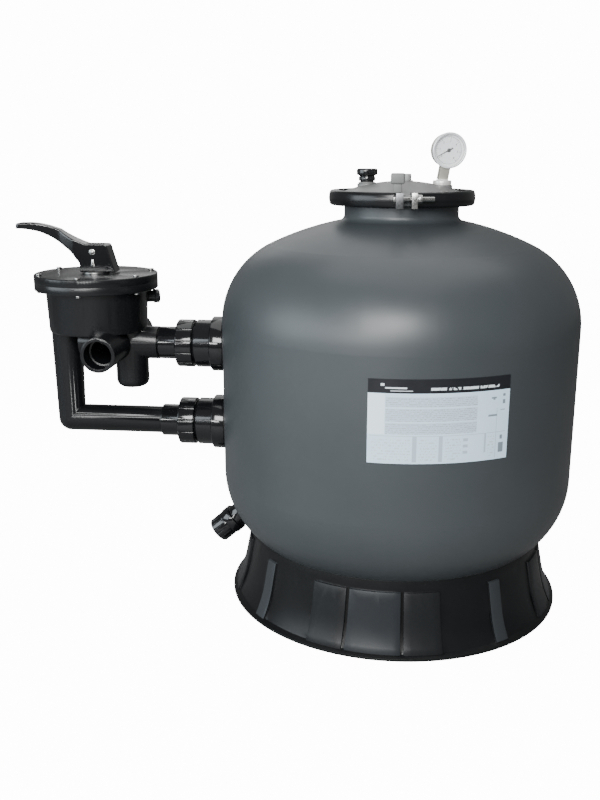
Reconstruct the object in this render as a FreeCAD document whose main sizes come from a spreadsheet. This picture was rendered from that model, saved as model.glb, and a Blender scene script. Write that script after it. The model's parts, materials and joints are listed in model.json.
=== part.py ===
"""Side-mount pool sand filter: tank on a flared skirt, clamped lid, and a multiport valve on the left.

Frame: millimetres, +Z up, origin on the tank's axis at the floor, valve side towards -X, front towards -Y.
"""
import FreeCAD, Part
import Sketcher
import math
import os

Vector = FreeCAD.Vector
Rotation = FreeCAD.Rotation

doc = FreeCAD.newDocument("SandFilterTank")

# Driving dimensions. Lengths in millimetres, angles in degrees.
DIMENSIONS = {
    # tank shell
    "tank_radius": 318, "tank_wall": 6, "side_bottom": 238, "side_top": 511, "knuckle_radius": 152,
    "top_rise": 189.4, "bottom_rise": 195.6, "neck_radius": 100, "neck_wall": 8, "neck_fillet": 9,
    # lid and clamp stack
    "flange_radius": 121, "flange_bottom": 720, "flange_split": 729, "flange_top": 738, "lid_rise": 19,
    "lid_wall": 6, "lid_dome_radius": 104, "lid_ring_radius": 112, "lid_ring_section": 3,
    "clamp_radius": 127.5, "clamp_wall": 3.5, "clamp_inner_radius": 111, "clamp_turn": 4,
    "clamp_gap": 13.6, "left_lug_width": 12, "right_lug_width": 9.4, "lug_depth": 17, "lug_bite": 1.2,
    "bolt_height": 731.5, "bolt_radius": 4, "bolt_stub": 21, "nut_width": 6.5, "nut_radius": 7.2,
    "washer_width": 1.4, "tab_width": 25, "tab_height": 27, "tab_thickness": 14,
    # air release
    "release_offset": 61, "release_seat_radius": 15, "release_seat_height": 3, "release_body_radius": 14,
    "release_body_height": 9, "release_head_radius": 18.2, "release_head_height": 12,
    "release_seal_thickness": 2, "release_thread_radius": 5, "plug_radius": 8, "plug_height": 11,
    "plug_offset": 8,
    # pressure gauge
    "gauge_offset": 69, "gauge_bushing_radius": 16, "gauge_bushing_height": 8, "gauge_stem_side": 17,
    "gauge_stem_depth": 13, "gauge_stem_length": 23, "gauge_radius": 30, "gauge_depth": 24,
    "gauge_lean": 9, "gauge_turn": 15, "gauge_rim": 3.2, "gauge_wall": 1.5,
    # skirt
    "skirt_foot_radius_step": -12.4, "skirt_foot_height": 4, "skirt_panel_foot_step": -18,
    "skirt_panel_waist_step": -36.5, "skirt_panel_top_step": -46, "skirt_waist_height": 58,
    "skirt_panel_height": 110, "skirt_recess": 4, "skirt_wall": 6, "skirt_sweep_radius": 190,
    "skirt_turn": -5.5,
    # rating label
    "label_left": -7.65, "label_right": 32.85, "label_bottom": 345.5, "label_top": 478,
    "label_thickness": 0.6,
    # ports and unions on the tank's left side
    "upper_port": 461, "lower_port": 311, "port_flange_radius": 50.5, "port_flange_face_step": 23,
    "port_collar_radius": 44, "port_collar_face_step": 51, "port_bore_step": -3, "port_thread_radius": 38,
    "port_end_step": 74, "shank_radius": 28, "gasket_thickness": 2, "gasket_radius": 47,
    "locknut_radius": 42, "locknut_width": 18, "union_nut_radius": 44, "union_nut_start_step": 57,
    "union_nut_end_step": 88, "tail_flange_radius": 36, "tail_flange_width": 6, "tail_radius_step": 5,
    "tail_end_step": 123, "socket_depth": 31, "pipe_radius": 25, "pipe_bore_step": -3,
    "union_ring_radius": 30, "union_ring_section": 1.6, "grip_count": 12, "grip_radius": 1.6,
    # multiport valve
    "valve_offset_step": 240, "bowl_radius": 93, "bowl_foot_radius": 90, "bowl_bottom": 485,
    "bowl_floor": 8, "bowl_wall": 9, "valve_flange_radius": 112.5, "valve_flange_bottom": 562,
    "valve_flange_split": 576, "valve_top": 590, "lid_plate": 10, "spigot_depth": 9, "spigot_wall": 7,
    "valve_ring_section": 1.6, "port_radius_step": 6, "waste_port_start": 32, "front_port_offset_step": -37,
    "rear_port_offset_step": 37, "port_mouth": 130, "elbow_offset_step": -61, "elbow_radius_step": 5.5,
    "elbow_bottom": 377, "elbow_round": 14, "elbow_end_step": 2, "leg_offset_step": 63,
    "leg_top_radius_step": 3.5, "leg_foot_radius_step": 0.5, "screw_circle": 104, "screw_radius": 3,
    "screw_head_radius": 5, "screw_head_height": 4, "sight_offset": 30, "sight_height": 540,
    "sight_radius": 11, "sight_length": 24,
    # valve works
    "spider_thickness": 3, "rotor_radius": 80, "rotor_plate": 10, "rotor_height": 34,
    "rotor_hub_radius": 30, "stem_radius": 11, "stem_top": 638, "spring_radius": 20, "spring_wire": 1.75,
    "spring_turns": 5, "washer_radius": 25, "washer_thickness": 1.8, "pin_height": 629, "pin_radius": 4,
    "hub_half": 17,
    # handle
    "hub_left": 25, "hub_right": 41, "hub_top_left": 13, "hub_top_right": 28, "hub_top": 643.5,
    "slot_left": 21, "slot_right": 13,
    # drain
    "drain_angle": 41, "drain_flange_radius": 30, "drain_neck_radius": 22, "drain_collar_radius": 26,
    "drain_cap_radius": 24.5, "drain_collar_start": 30, "drain_collar_end": 46, "drain_end": 78,
    "drain_bore": 15, "drain_flange_width": 8,
    # inside the tank
    "riser_height": 585, "diffuser_radius": 60, "diffuser_height": 45, "hub_radius": 45, "hub_height": 70,
    "hub_centre": 130, "lateral_radius": 12, "lateral_bore": 10, "lateral_length": 150,
    "lateral_count": 8,
    # fits
    "running_fit": 0.05, "moving_gap": 0.35, "thread_gap": 0.4,
}

# Sizes that keep a fixed step from another size, and the size that they are measured from.
TIED = {
    "port_flange_face": "tank_radius", "port_collar_face": "tank_radius", "port_end": "tank_radius",
    "union_nut_start": "tank_radius", "union_nut_end": "tank_radius", "tail_end": "tank_radius",
    "valve_offset": "tank_radius", "front_port_offset": "valve_offset", "rear_port_offset": "valve_offset",
    "elbow_offset": "valve_offset", "leg_offset": "valve_offset", "elbow_end": "tail_end",
    "skirt_foot_radius": "tank_radius", "skirt_panel_foot": "tank_radius",
    "skirt_panel_waist": "tank_radius", "skirt_panel_top": "tank_radius",
    "pipe_bore": "pipe_radius", "port_bore": "pipe_radius", "tail_radius": "pipe_radius",
    "leg_foot_radius": "pipe_radius", "leg_top_radius": "pipe_radius", "elbow_radius": "pipe_radius",
    "port_radius": "pipe_radius",
}

sheet = doc.addObject("Spreadsheet::Sheet", "Sizes")
for row, (alias, number) in enumerate(DIMENSIONS.items(), start=1):
    sheet.set(f"A{row}", alias)
    sheet.set(f"B{row}", str(number))
    sheet.setAlias(f"B{row}", alias)
doc.recompute()


class Size:
    """A number and the sheet expression that gives it, so that sums of sizes stay bound to the sheet."""

    def __init__(self, value, text):
        self.value = float(value)
        self.text = text

    def __add__(self, other):
        other = as_size(other)
        return Size(self.value + other.value, f"({self.text} + {other.text})")

    def __radd__(self, other):
        return as_size(other) + self

    def __sub__(self, other):
        other = as_size(other)
        return Size(self.value - other.value, f"({self.text} - {other.text})")

    def __rsub__(self, other):
        return as_size(other) - self

    def __mul__(self, other):
        other = as_size(other)
        return Size(self.value * other.value, f"({self.text} * {other.text})")

    def __rmul__(self, other):
        return as_size(other) * self

    def __truediv__(self, other):
        other = as_size(other)
        return Size(self.value / other.value, f"({self.text} / {other.text})")

    def __neg__(self):
        return Size(-self.value, f"(0 - {self.text})")


def as_size(number):
    """A plain number as a Size."""
    if isinstance(number, Size):
        return number
    return Size(number, f"({number})")


def root(size):
    """Square root of a size."""
    return Size(math.sqrt(size.value), f"sqrt({size.text})")


def leg(hypotenuse, other):
    """The other leg of a right triangle."""
    return root(hypotenuse * hypotenuse - other * other)


class SheetSizes:
    """Reads a dimension of the sheet by its alias, or a tied one from its base and its step."""

    def __getattr__(self, alias):
        if alias in TIED:
            return getattr(self, TIED[alias]) + getattr(self, f"{alias}_step")
        return Size(sheet.get(alias), f"Sizes.{alias}")


d = SheetSizes()

# Turns that take a part's own Z axis to the named direction.
TOWARDS = {
    "+Z": Rotation(),
    "-Z": Rotation(Vector(1, 0, 0), 180),
    "+X": Rotation(Vector(0, 1, 0), 90),
    "-X": Rotation(Vector(0, 1, 0), -90),
    "+Y": Rotation(Vector(1, 0, 0), -90),
    "-Y": Rotation(Vector(1, 0, 0), 90),
}

nodes = []


def keep(obj, label):
    """Registers an object as a node that is written to its own file."""
    obj.Label = label
    nodes.append(obj)
    return obj


def bind(obj, path, size):
    """Ties one property of an object to the sheet."""
    obj.setExpression(path, as_size(size).text)


def place(obj, x=0, y=0, z=0, rotation=None):
    """Sets an object's turn and ties its place to the sheet."""
    spot = [as_size(value) for value in (x, y, z)]
    base = Vector(*[value.value for value in spot])
    obj.Placement = FreeCAD.Placement(base, rotation or Rotation())
    for letter, value in zip("xyz", spot):
        bind(obj, f"Placement.Base.{letter}", value)
    return obj


def cylinder(name, radius, length, x=0, y=0, z=0, towards="+Z"):
    """A round bar from a point along a named direction."""
    obj = doc.addObject("Part::Cylinder", name)
    bind(obj, "Radius", radius)
    bind(obj, "Height", length)
    return place(obj, x, y, z, TOWARDS[towards])


def cone(name, radius_start, radius_end, length, x=0, y=0, z=0, towards="+Z"):
    """A tapered bar from a point along a named direction."""
    obj = doc.addObject("Part::Cone", name)
    bind(obj, "Radius1", radius_start)
    bind(obj, "Radius2", radius_end)
    bind(obj, "Height", length)
    return place(obj, x, y, z, TOWARDS[towards])


def fuse(name, shapes):
    """One solid out of several."""
    obj = doc.addObject("Part::MultiFuse", name)
    obj.Shapes = shapes
    obj.Refine = True
    return obj


def cut(name, base, tool):
    """The base without the tool."""
    obj = doc.addObject("Part::Cut", name)
    obj.Base = base
    obj.Tool = tool
    return obj


def common(name, base, tool):
    """What the base and the tool share."""
    obj = doc.addObject("Part::Common", name)
    obj.Base = base
    obj.Tool = tool
    return obj


def compound(name, shapes):
    """Separate solids held together as one group."""
    obj = doc.addObject("Part::Compound", name)
    obj.Links = shapes
    return obj


def origin_plane(body, role):
    """One of a body's own origin planes."""
    return next(item for item in body.Origin.OriginFeatures if item.Role == role)


def arc_centre(start, end, radius, turn):
    """Centre of the short arc from start to end; turn is +1 anticlockwise and -1 clockwise."""
    half_x = (end[0] - start[0]) / 2
    half_y = (end[1] - start[1]) / 2
    half = math.hypot(half_x, half_y)
    reach = math.sqrt(max(radius * radius - half * half, 0)) * turn
    return start[0] + half_x - half_y / half * reach, start[1] + half_y + half_x / half * reach


def draw_outline(sketch, corners):
    """Draws a closed outline and ties every corner to the sheet.

    A corner is (across, up) or (across, up, radius): with a radius, an arc leads to it from the corner
    before, anticlockwise when the radius is positive and clockwise when it is negative.
    """
    corners = [[as_size(number) for number in corner] for corner in corners]
    ends = []
    for index, corner in enumerate(corners):
        start = [number.value for number in corners[index - 1][:2]]
        end = [number.value for number in corner[:2]]
        if len(corner) == 2:
            sketch.addGeometry(Part.LineSegment(Vector(*start, 0), Vector(*end, 0)))
            ends.append((1, 2))
            continue
        radius = abs(corner[2].value)
        turn = 1 if corner[2].value > 0 else -1
        centre = arc_centre(start, end, radius, turn)
        first, last = (start, end) if turn > 0 else (end, start)
        angles = [math.atan2(spot[1] - centre[1], spot[0] - centre[0]) for spot in (first, last)]
        if angles[1] < angles[0]:
            angles[1] += 2 * math.pi
        circle = Part.Circle(Vector(*centre, 0), Vector(0, 0, 1), radius)
        sketch.addGeometry(Part.ArcOfCircle(circle, *angles))
        ends.append((1, 2) if turn > 0 else (2, 1))
    rules = []
    for index, corner in enumerate(corners):
        following = (index + 1) % len(corners)
        here = (index, ends[index][1])
        sketch.addConstraint(Sketcher.Constraint("Coincident", *here, following, ends[following][0]))
        for kind, axis, number in (("DistanceX", -2, corner[0]), ("DistanceY", -1, corner[1])):
            if number.value == 0:
                sketch.addConstraint(Sketcher.Constraint("PointOnObject", *here, axis))
                continue
            rules.append((sketch.addConstraint(
                Sketcher.Constraint(kind, -1, 1, *here, number.value)), number.text))
        if len(corner) == 3:
            size = corner[2] if corner[2].value > 0 else -corner[2]
            rules.append((sketch.addConstraint(
                Sketcher.Constraint("Radius", index, size.value)), size.text))
    for number, text in rules:
        sketch.setExpression(f"Constraints[{number}]", text)


def new_sketch(body, name, role):
    """A sketch on one of a body's own origin planes."""
    sketch = body.newObject("Sketcher::SketchObject", name)
    sketch.AttachmentSupport = (origin_plane(body, role), [""])
    sketch.MapMode = "FlatFace"
    return sketch


def turned(name, corners, angle=None, x=None, y=0, z=0, rotation=None):
    """A body turned about its own Z axis from an outline of (radius, height) corners.

    Without an x its placement stays free, to be set by whatever carries it.
    """
    body = doc.addObject("PartDesign::Body", name)
    sketch = new_sketch(body, name + "_outline", "XZ_Plane")
    draw_outline(sketch, corners)
    turning = body.newObject("PartDesign::Revolution", name + "_turning")
    turning.Profile = sketch
    turning.ReferenceAxis = (sketch, ["V_Axis"])
    if angle is None:
        turning.Angle = 360
    else:
        turning.Midplane = True
        bind(turning, "Angle", angle)
    body.Tip = turning
    return body if x is None else place(body, x, y, z, rotation)


def ring(name, outer, inner, start, end, x=None, y=0, z=0, rotation=None):
    """A plain ring between two heights."""
    corners = [(inner, start), (outer, start), (outer, end), (inner, end)]
    return turned(name, corners, None, x, y, z, rotation)


def padded(name, corners, role, width, x=None, y=0, z=0):
    """A body pushed out evenly to both sides of an origin plane; without an x its placement stays free."""
    body = doc.addObject("PartDesign::Body", name)
    sketch = new_sketch(body, name + "_outline", role)
    draw_outline(sketch, corners)
    pad = body.newObject("PartDesign::Pad", name + "_pad")
    pad.Profile = sketch
    pad.Midplane = True
    bind(pad, "Length", width)
    body.Tip = pad
    return body if x is None else place(body, x, y, z)


def about_z(angle):
    """A turn about the vertical axis."""
    return Rotation(Vector(0, 0, 1), angle)


# ---------------------------------------------------------------- tank

def crown_radius(rise):
    """Radius of the crown arc of a dome that ends this far from the straight side."""
    across = d.tank_radius - d.knuckle_radius
    knuckle = d.knuckle_radius
    return (across * across + rise * rise - knuckle * knuckle) / (2 * (rise - knuckle))


def dome_point(crown, side_height, sign, wall=0):
    """Where the knuckle arc meets the crown arc, and the height of the crown's centre."""
    reach = crown - d.knuckle_radius
    across = d.tank_radius - d.knuckle_radius
    rise = leg(reach, across)
    centre = side_height - sign * rise
    radius = crown - wall
    return radius * across / reach, centre + sign * radius * rise / reach, centre


def knuckle_height(radius, wall=0):
    """Height of the lower knuckle's surface at a radius."""
    across = radius - (d.tank_radius - d.knuckle_radius)
    return d.side_bottom - leg(d.knuckle_radius - wall, across)


def dome_corners(wall):
    """Tank outline from the bottom centre up to the neck, inset by a wall."""
    bottom_crown = crown_radius(d.bottom_rise)
    low_r, low_z, low_centre = dome_point(bottom_crown, d.side_bottom, -1, wall)
    top_r, top_z, top_centre = dome_point(crown_radius(d.top_rise), d.side_top, 1, wall)
    side = d.tank_radius - wall
    knuckle = d.knuckle_radius - wall
    return [
        (0, low_centre - (bottom_crown - wall)),
        (low_r, low_z, bottom_crown - wall),
        (side, d.side_bottom, knuckle),
        (side, d.side_top),
        (top_r, top_z, knuckle),
    ], top_centre


def make_tank_core():
    """Solid outer form of the tank up to the neck flange."""
    corners, centre = dome_corners(0)
    edge = d.neck_radius + d.neck_fillet
    crown = crown_radius(d.top_rise)
    corners.append((edge, centre + leg(crown, edge), crown))
    neck_meets = centre + leg(crown, d.neck_radius) + d.neck_fillet
    corners += [
        (d.neck_radius, neck_meets, -1.2 * d.neck_fillet),
        (d.neck_radius, d.flange_bottom),
        (d.flange_radius, d.flange_bottom),
        (d.flange_radius, d.flange_split),
        (0, d.flange_split),
    ]
    return turned("tank_form", corners)


def make_tank_room():
    """The room inside the tank, with the neck's opening."""
    corners, centre = dome_corners(d.tank_wall)
    inner = d.neck_radius - d.neck_wall
    crown = crown_radius(d.top_rise) - d.tank_wall
    corners += [
        (inner, centre + leg(crown, inner), crown),
        (inner, d.flange_split + 1),
        (0, d.flange_split + 1),
    ]
    return turned("tank_room", corners)


def drain_place():
    """Placement with its origin on the lower dome and its Z axis pointing straight out of it."""
    angle = math.radians(d.drain_angle.value)
    across = (d.tank_radius - d.knuckle_radius).value + d.knuckle_radius.value * math.cos(angle)
    height = d.side_bottom.value - d.knuckle_radius.value * math.sin(angle)
    turn = Rotation(Vector(0, 1, 0), -90 - d.drain_angle.value)
    return FreeCAD.Placement(Vector(-across, 0, height), turn)


def make_tank(form, room):
    """Hollow shell with its port holes, drain hole and lid O-ring groove."""
    holes = [room]
    for level, height in (("upper", d.upper_port), ("lower", d.lower_port)):
        hole = cylinder(f"{level}_port_hole", d.shank_radius + d.running_fit, d.tank_radius,
                        0, 0, height, "-X")
        holes.append(hole)
    drain_hole = doc.addObject("Part::Cylinder", "drain_hole")
    bind(drain_hole, "Radius", d.drain_neck_radius - 4)
    drain_hole.Height = 40
    drain_hole.Placement = drain_place().multiply(FreeCAD.Placement(Vector(0, 0, -20), Rotation()))
    holes.append(drain_hole)
    section = d.lid_ring_section
    groove = ring("lid_groove", d.lid_ring_radius + section, d.lid_ring_radius - section,
                  d.flange_split - 2 * section, d.flange_split + 1)
    holes.append(groove)
    return keep(cut("tank_shell", form, fuse("tank_holes", holes)), "tank_shell")


def torus_ring(label, radius, section, x=0, y=0, z=0, towards="+Z"):
    """A round-section sealing ring."""
    obj = doc.addObject("Part::Torus", label)
    bind(obj, "Radius1", radius)
    bind(obj, "Radius2", section)
    return keep(place(obj, x, y, z, TOWARDS[towards]), label)


# ---------------------------------------------------------------- skirt

def make_skirt():
    """Flared hollow skirt with raised panels and strips, the same in each quarter."""
    recess = d.skirt_recess
    wall = d.skirt_wall
    rim_out = d.skirt_panel_top - recess
    rim_in = rim_out - wall
    foot = d.skirt_foot_radius
    top = d.skirt_panel_height
    waist = d.skirt_waist_height
    shell = turned("skirt_shell", [
        (d.skirt_panel_foot - recess - 2 * wall, 0),
        (foot, 0),
        (foot, d.skirt_foot_height),
        (d.skirt_panel_foot - recess, 2 * d.skirt_foot_height),
        (d.skirt_panel_waist - recess, waist, -d.skirt_sweep_radius),
        (rim_out, top),
        (rim_out, knuckle_height(rim_out)),
        (rim_in, knuckle_height(rim_in), -d.knuckle_radius),
        (rim_in, top - 2 * wall),
        (d.skirt_panel_waist - recess - wall, waist),
    ])
    pieces = [shell]
    bury = recess + 1
    # Panel and strip centres and widths in degrees from the middle of each quarter.
    features = [("panel", 0, 18), ("left_cheek", -16.35, 12.5), ("right_cheek", 16.35, 12.5),
                ("strip", 45, 5)]
    for quarter in range(4):
        for feature, centre, width in features:
            name = f"skirt_{feature}_{quarter}"
            sector = turned(name, [
                (d.skirt_panel_foot - bury, 2 * d.skirt_foot_height - 1),
                (d.skirt_panel_foot, 2 * d.skirt_foot_height - 1),
                (d.skirt_panel_waist, waist, -d.skirt_sweep_radius),
                (d.skirt_panel_top, top - 4),
                (d.skirt_panel_top - bury, top - 4),
                (d.skirt_panel_waist - bury, waist),
            ], width)
            facing = -90 + d.skirt_turn.value + 90 * quarter + centre
            sector.Placement = FreeCAD.Placement(Vector(), about_z(facing))
            pieces.append(sector)
    notch = doc.addObject("Part::Cylinder", "skirt_notch")
    bind(notch, "Radius", d.drain_flange_radius + 2)
    notch.Height = 120
    notch.Placement = drain_place().multiply(FreeCAD.Placement(Vector(0, 0, -20), Rotation()))
    return keep(cut("base_skirt", fuse("skirt_solid", pieces), notch), "base_skirt")


def make_label():
    """Thin curved label on the front of the tank."""
    middle = (d.label_left + d.label_right) / 2
    label = turned("rating_label", [
        (d.tank_radius, d.label_bottom),
        (d.tank_radius + d.label_thickness, d.label_bottom),
        (d.tank_radius + d.label_thickness, d.label_top),
        (d.tank_radius, d.label_top),
    ], d.label_right - d.label_left)
    label.Placement = FreeCAD.Placement(Vector(), about_z(middle.value - 90))
    return keep(label, "rating_label")


# ---------------------------------------------------------------- lid and clamp

def lid_crown():
    """Radius of the lid's crown."""
    return (d.lid_dome_radius * d.lid_dome_radius + d.lid_rise * d.lid_rise) / (2 * d.lid_rise)


def lid_surface(offset):
    """Height of the lid's top at a distance from the axis."""
    crown = lid_crown()
    return d.flange_top + d.lid_rise - crown + leg(crown, offset)


def make_lid():
    """Low domed lid with its flange and the three bosses' holes."""
    crown = lid_crown()
    inside = d.lid_dome_radius - d.lid_wall
    inner_crown = crown - d.lid_wall
    centre = d.flange_top + d.lid_rise - crown
    lid = turned("lid_form", [
        (inside, d.flange_split),
        (d.flange_radius, d.flange_split),
        (d.flange_radius, d.flange_top),
        (d.lid_dome_radius, d.flange_top),
        (0, d.flange_top + d.lid_rise, crown),
        (0, d.flange_top + d.lid_rise - d.lid_wall),
        (inside, centre + leg(inner_crown, inside), -inner_crown),
    ])
    release = cylinder("release_boss", d.release_seat_radius + 2, 14, -d.release_offset, 0,
                       lid_surface(d.release_offset) - 13)
    gauge = cylinder("gauge_boss", d.gauge_bushing_radius + 2, 14, d.gauge_offset, 0,
                     lid_surface(d.gauge_offset) - 13)
    plug = cylinder("plug_boss", d.plug_radius + 3, 14, d.plug_offset, 0, lid_surface(d.plug_offset) - 13)
    solid = fuse("lid_solid", [lid, release, gauge, plug])
    holes = [
        cylinder("release_hole", d.release_thread_radius + 2, 40, -d.release_offset, 0, d.flange_split),
        cylinder("gauge_hole", d.gauge_bushing_radius / 2, 40, d.gauge_offset, 0, d.flange_split),
        cylinder("plug_hole", d.plug_radius / 2, 40, d.plug_offset, 0, d.flange_split),
    ]
    for name, radius, x in (("release", d.release_seat_radius, -d.release_offset),
                            ("gauge", d.gauge_bushing_radius, d.gauge_offset),
                            ("plug", d.plug_radius, d.plug_offset)):
        offset = d.release_offset if name == "release" else x
        holes.append(cylinder(f"{name}_spot_face", radius + 0.5, 20, x, 0, lid_surface(offset) + 1))
    return keep(cut("filter_lid", solid, compound("lid_holes", holes)), "filter_lid")


def clamp_outside():
    """Rounded outer outline of the clamp ring, from its lower to its upper inner edge."""
    low = d.flange_bottom - d.clamp_wall
    high = d.flange_top + d.clamp_wall
    bulge = d.clamp_radius - 1.5
    return [
        (d.clamp_inner_radius, low),
        (bulge - 3, low),
        (bulge, low + 4, 6),
        (bulge, high - 4, 30),
        (bulge - 3, high, 6),
        (d.clamp_inner_radius, high),
    ]


def make_clamp_half(label, facing):
    """Half of the C-section ring that squeezes lid and neck together."""
    half = turned(label, [
        *clamp_outside(),
        (d.clamp_inner_radius, d.flange_top),
        (d.flange_radius + 1, d.flange_top),
        (d.flange_radius + 1, d.flange_bottom),
        (d.clamp_inner_radius, d.flange_bottom),
    ], 173.8)
    half.Placement = FreeCAD.Placement(Vector(), about_z(facing + d.clamp_turn.value))
    return keep(half, label)


def closure_block(name, width, depth, height, x, y, z):
    """Block centred on y, starting at x, in the clamp's own turn."""
    obj = doc.addObject("Part::Box", name)
    bind(obj, "Length", width)
    bind(obj, "Width", depth)
    bind(obj, "Height", height)
    spot = Vector(as_size(x).value, as_size(y).value - as_size(depth).value / 2, as_size(z).value)
    turn = about_z(d.clamp_turn.value)
    obj.Placement = FreeCAD.Placement(turn.multVec(spot), turn)
    return obj


def closure_rod(name, radius, length, x, y, z):
    """Round bar along the closure's own X axis, in the clamp's own turn."""
    obj = doc.addObject("Part::Cylinder", name)
    bind(obj, "Radius", radius)
    bind(obj, "Height", length)
    spot = Vector(as_size(x).value, as_size(y).value, as_size(z).value)
    turn = about_z(d.clamp_turn.value)
    obj.Placement = FreeCAD.Placement(turn.multVec(spot), turn.multiply(TOWARDS["+X"]))
    return obj


def closure_hex(name, radius, length, x, y, z):
    """Hexagonal bar along the closure's own X axis, in the clamp's own turn."""
    obj = doc.addObject("Part::Prism", name)
    obj.Polygon = 6
    bind(obj, "Circumradius", radius)
    bind(obj, "Height", length)
    spot = Vector(as_size(x).value, as_size(y).value, as_size(z).value)
    turn = about_z(d.clamp_turn.value)
    obj.Placement = FreeCAD.Placement(turn.multVec(spot), turn.multiply(TOWARDS["+X"]))
    return obj


def make_closure(prefix, side):
    """Two lugs, a bolt and a nut that pull the clamp halves together; side is -1 front, +1 rear."""
    lug_low = d.flange_bottom - d.clamp_wall
    lug_height = d.flange_top + 2 * d.clamp_wall - d.flange_bottom
    middle = side * (d.clamp_radius + d.lug_depth / 2 - d.lug_bite)
    bolt_y = side * (d.clamp_radius + d.lug_depth / 2)
    gap = d.clamp_gap / 2
    half = turned(f"{prefix}ring_clear", clamp_outside())
    lugs = []
    for name, start, width in (("left", -gap - d.left_lug_width, d.left_lug_width),
                               ("right", gap, d.right_lug_width)):
        block = closure_block(f"{prefix}_{name}_block", width, d.lug_depth, lug_height,
                              start, middle, lug_low)
        hole = closure_rod(f"{prefix}_{name}_hole", d.bolt_radius + 0.3, width + 4, start - 2,
                           bolt_y, d.bolt_height)
        tools = compound(f"{prefix}_{name}_tools", [half, hole])
        lugs.append(cut(f"{prefix}clamp_lug_{name}", block, tools))
    head_thick = 4
    head_end = -gap - d.left_lug_width
    head = closure_hex(f"{prefix}_bolt_head", d.nut_radius, head_thick, head_end - head_thick,
                       bolt_y, d.bolt_height)
    shank = closure_rod(f"{prefix}_bolt_shank", d.bolt_radius,
                        d.clamp_gap + d.left_lug_width + d.right_lug_width + d.nut_width + d.bolt_stub + 1,
                        head_end - 1, bolt_y, d.bolt_height)
    bolt = fuse(f"{prefix}clamp_bolt", [head, shank])
    washer_start = gap + d.right_lug_width
    nut_start = washer_start + d.washer_width
    washer_form = closure_rod(f"{prefix}_washer_form", d.nut_radius + 0.6, d.washer_width,
                              washer_start, bolt_y, d.bolt_height)
    nut_form = closure_hex(f"{prefix}_nut_form", d.nut_radius, d.nut_width, nut_start, bolt_y, d.bolt_height)
    nut_hole = closure_rod(f"{prefix}_nut_hole", d.bolt_radius + d.running_fit, d.nut_width + 8,
                           washer_start - 2, bolt_y, d.bolt_height)
    washer = cut(f"{prefix}clamp_washer", washer_form, nut_hole)
    nut = cut(f"{prefix}clamp_nut", nut_form, nut_hole)
    if prefix:
        keep(compound("rear_clamp_fastener", [bolt, washer, nut]), "rear_clamp_fastener")
        keep(compound("rear_clamp_lugs", lugs), "rear_clamp_lugs")
        return
    for piece, label in ((bolt, "clamp_bolt"), (washer, "clamp_washer"), (nut, "clamp_nut"),
                         (lugs[0], "clamp_lug_left"), (lugs[1], "clamp_lug_right")):
        keep(piece, label)


def make_tab():
    """Grey T-shaped tab that stands on the left lug and lifts the clamp."""
    gap = d.clamp_gap / 2
    stem_width = d.left_lug_width - 1
    lug_top = d.flange_top + d.clamp_wall
    y = -(d.clamp_radius + d.lug_depth / 2 - d.lug_bite)
    stem_height = 7
    stem = closure_block("tab_stem", stem_width, d.tab_thickness - 4, stem_height + 1,
                         -gap - d.left_lug_width, y, lug_top)
    head = closure_block("tab_head", d.tab_width, d.tab_thickness, d.tab_height - 3,
                         -gap - d.left_lug_width - d.tab_width / 3, y, lug_top + stem_height)
    return keep(fuse("clamp_tab", [stem, head]), "clamp_tab")


def make_release():
    """Air release: a seat in the lid, a seal washer and the knob that unscrews."""
    x = -d.release_offset
    seat_low = lid_surface(d.release_offset) + 1
    seat_top = seat_low + d.release_seat_height
    seal_top = seat_top + d.release_seal_thickness
    thread = d.release_thread_radius
    seat = turned("air_release_seat", [
        (thread + d.running_fit, seat_low - 16),
        (thread + 2, seat_low - 16),
        (thread + 2, seat_low),
        (d.release_seat_radius, seat_low),
        (d.release_seat_radius, seat_top),
        (thread + d.running_fit, seat_top),
    ], None, x)
    keep(seat, "air_release_seat")
    keep(ring("air_release_seal", d.release_body_radius - 2, thread + 1, seat_top, seal_top, x),
         "air_release_seal")
    body_top = seal_top + d.release_body_height
    head_top = body_top + d.release_head_height
    knob = turned("knob_form", [
        (0, seat_low - 12),
        (thread, seat_low - 12),
        (thread, seal_top),
        (d.release_body_radius, seal_top),
        (d.release_body_radius, body_top),
        (d.release_head_radius, body_top + 1.5),
        (d.release_head_radius, head_top - 2),
        (d.release_head_radius - 2, head_top),
        (0, head_top),
    ], None, x)
    grips = []
    count = 12
    for index in range(count):
        angle = 2 * math.pi * index / count
        grips.append(cylinder(f"knob_grip_{index}", 1.8, 40,
                              x + (d.release_head_radius + 0.8) * math.cos(angle),
                              (d.release_head_radius + 0.8) * math.sin(angle), body_top - 5))
    return keep(cut("air_release_knob", knob, compound("knob_grips", grips)), "air_release_knob")


def make_plug():
    """Threaded plug in the middle of the lid."""
    low = lid_surface(d.plug_offset) + 1
    plug = turned("lid_plug", [
        (0, low - 12),
        (d.plug_radius / 2, low - 12),
        (d.plug_radius / 2, low),
        (d.plug_radius, low),
        (d.plug_radius, low + d.plug_height - 2),
        (d.plug_radius - 2, low + d.plug_height, 2.4),
        (0, low + d.plug_height),
    ], None, d.plug_offset)
    return keep(plug, "lid_plug")


# ---------------------------------------------------------------- gauge

def gauge_frame():
    """Placement of the gauge's case: its Z axis comes out of the face."""
    base = Vector(d.gauge_offset.value, 0, (lid_surface(d.gauge_offset) + 1 + d.gauge_bushing_height).value)
    lean = Rotation(Vector(0, 1, 0), d.gauge_lean.value)
    turn = about_z(d.gauge_turn.value)
    stem = FreeCAD.Placement(base, lean.multiply(turn))
    rise = d.gauge_stem_length.value + d.gauge_radius.value - 2
    face = FreeCAD.Placement(Vector(0, 0, rise), TOWARDS["-Y"])
    return stem, stem.multiply(face)


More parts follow.
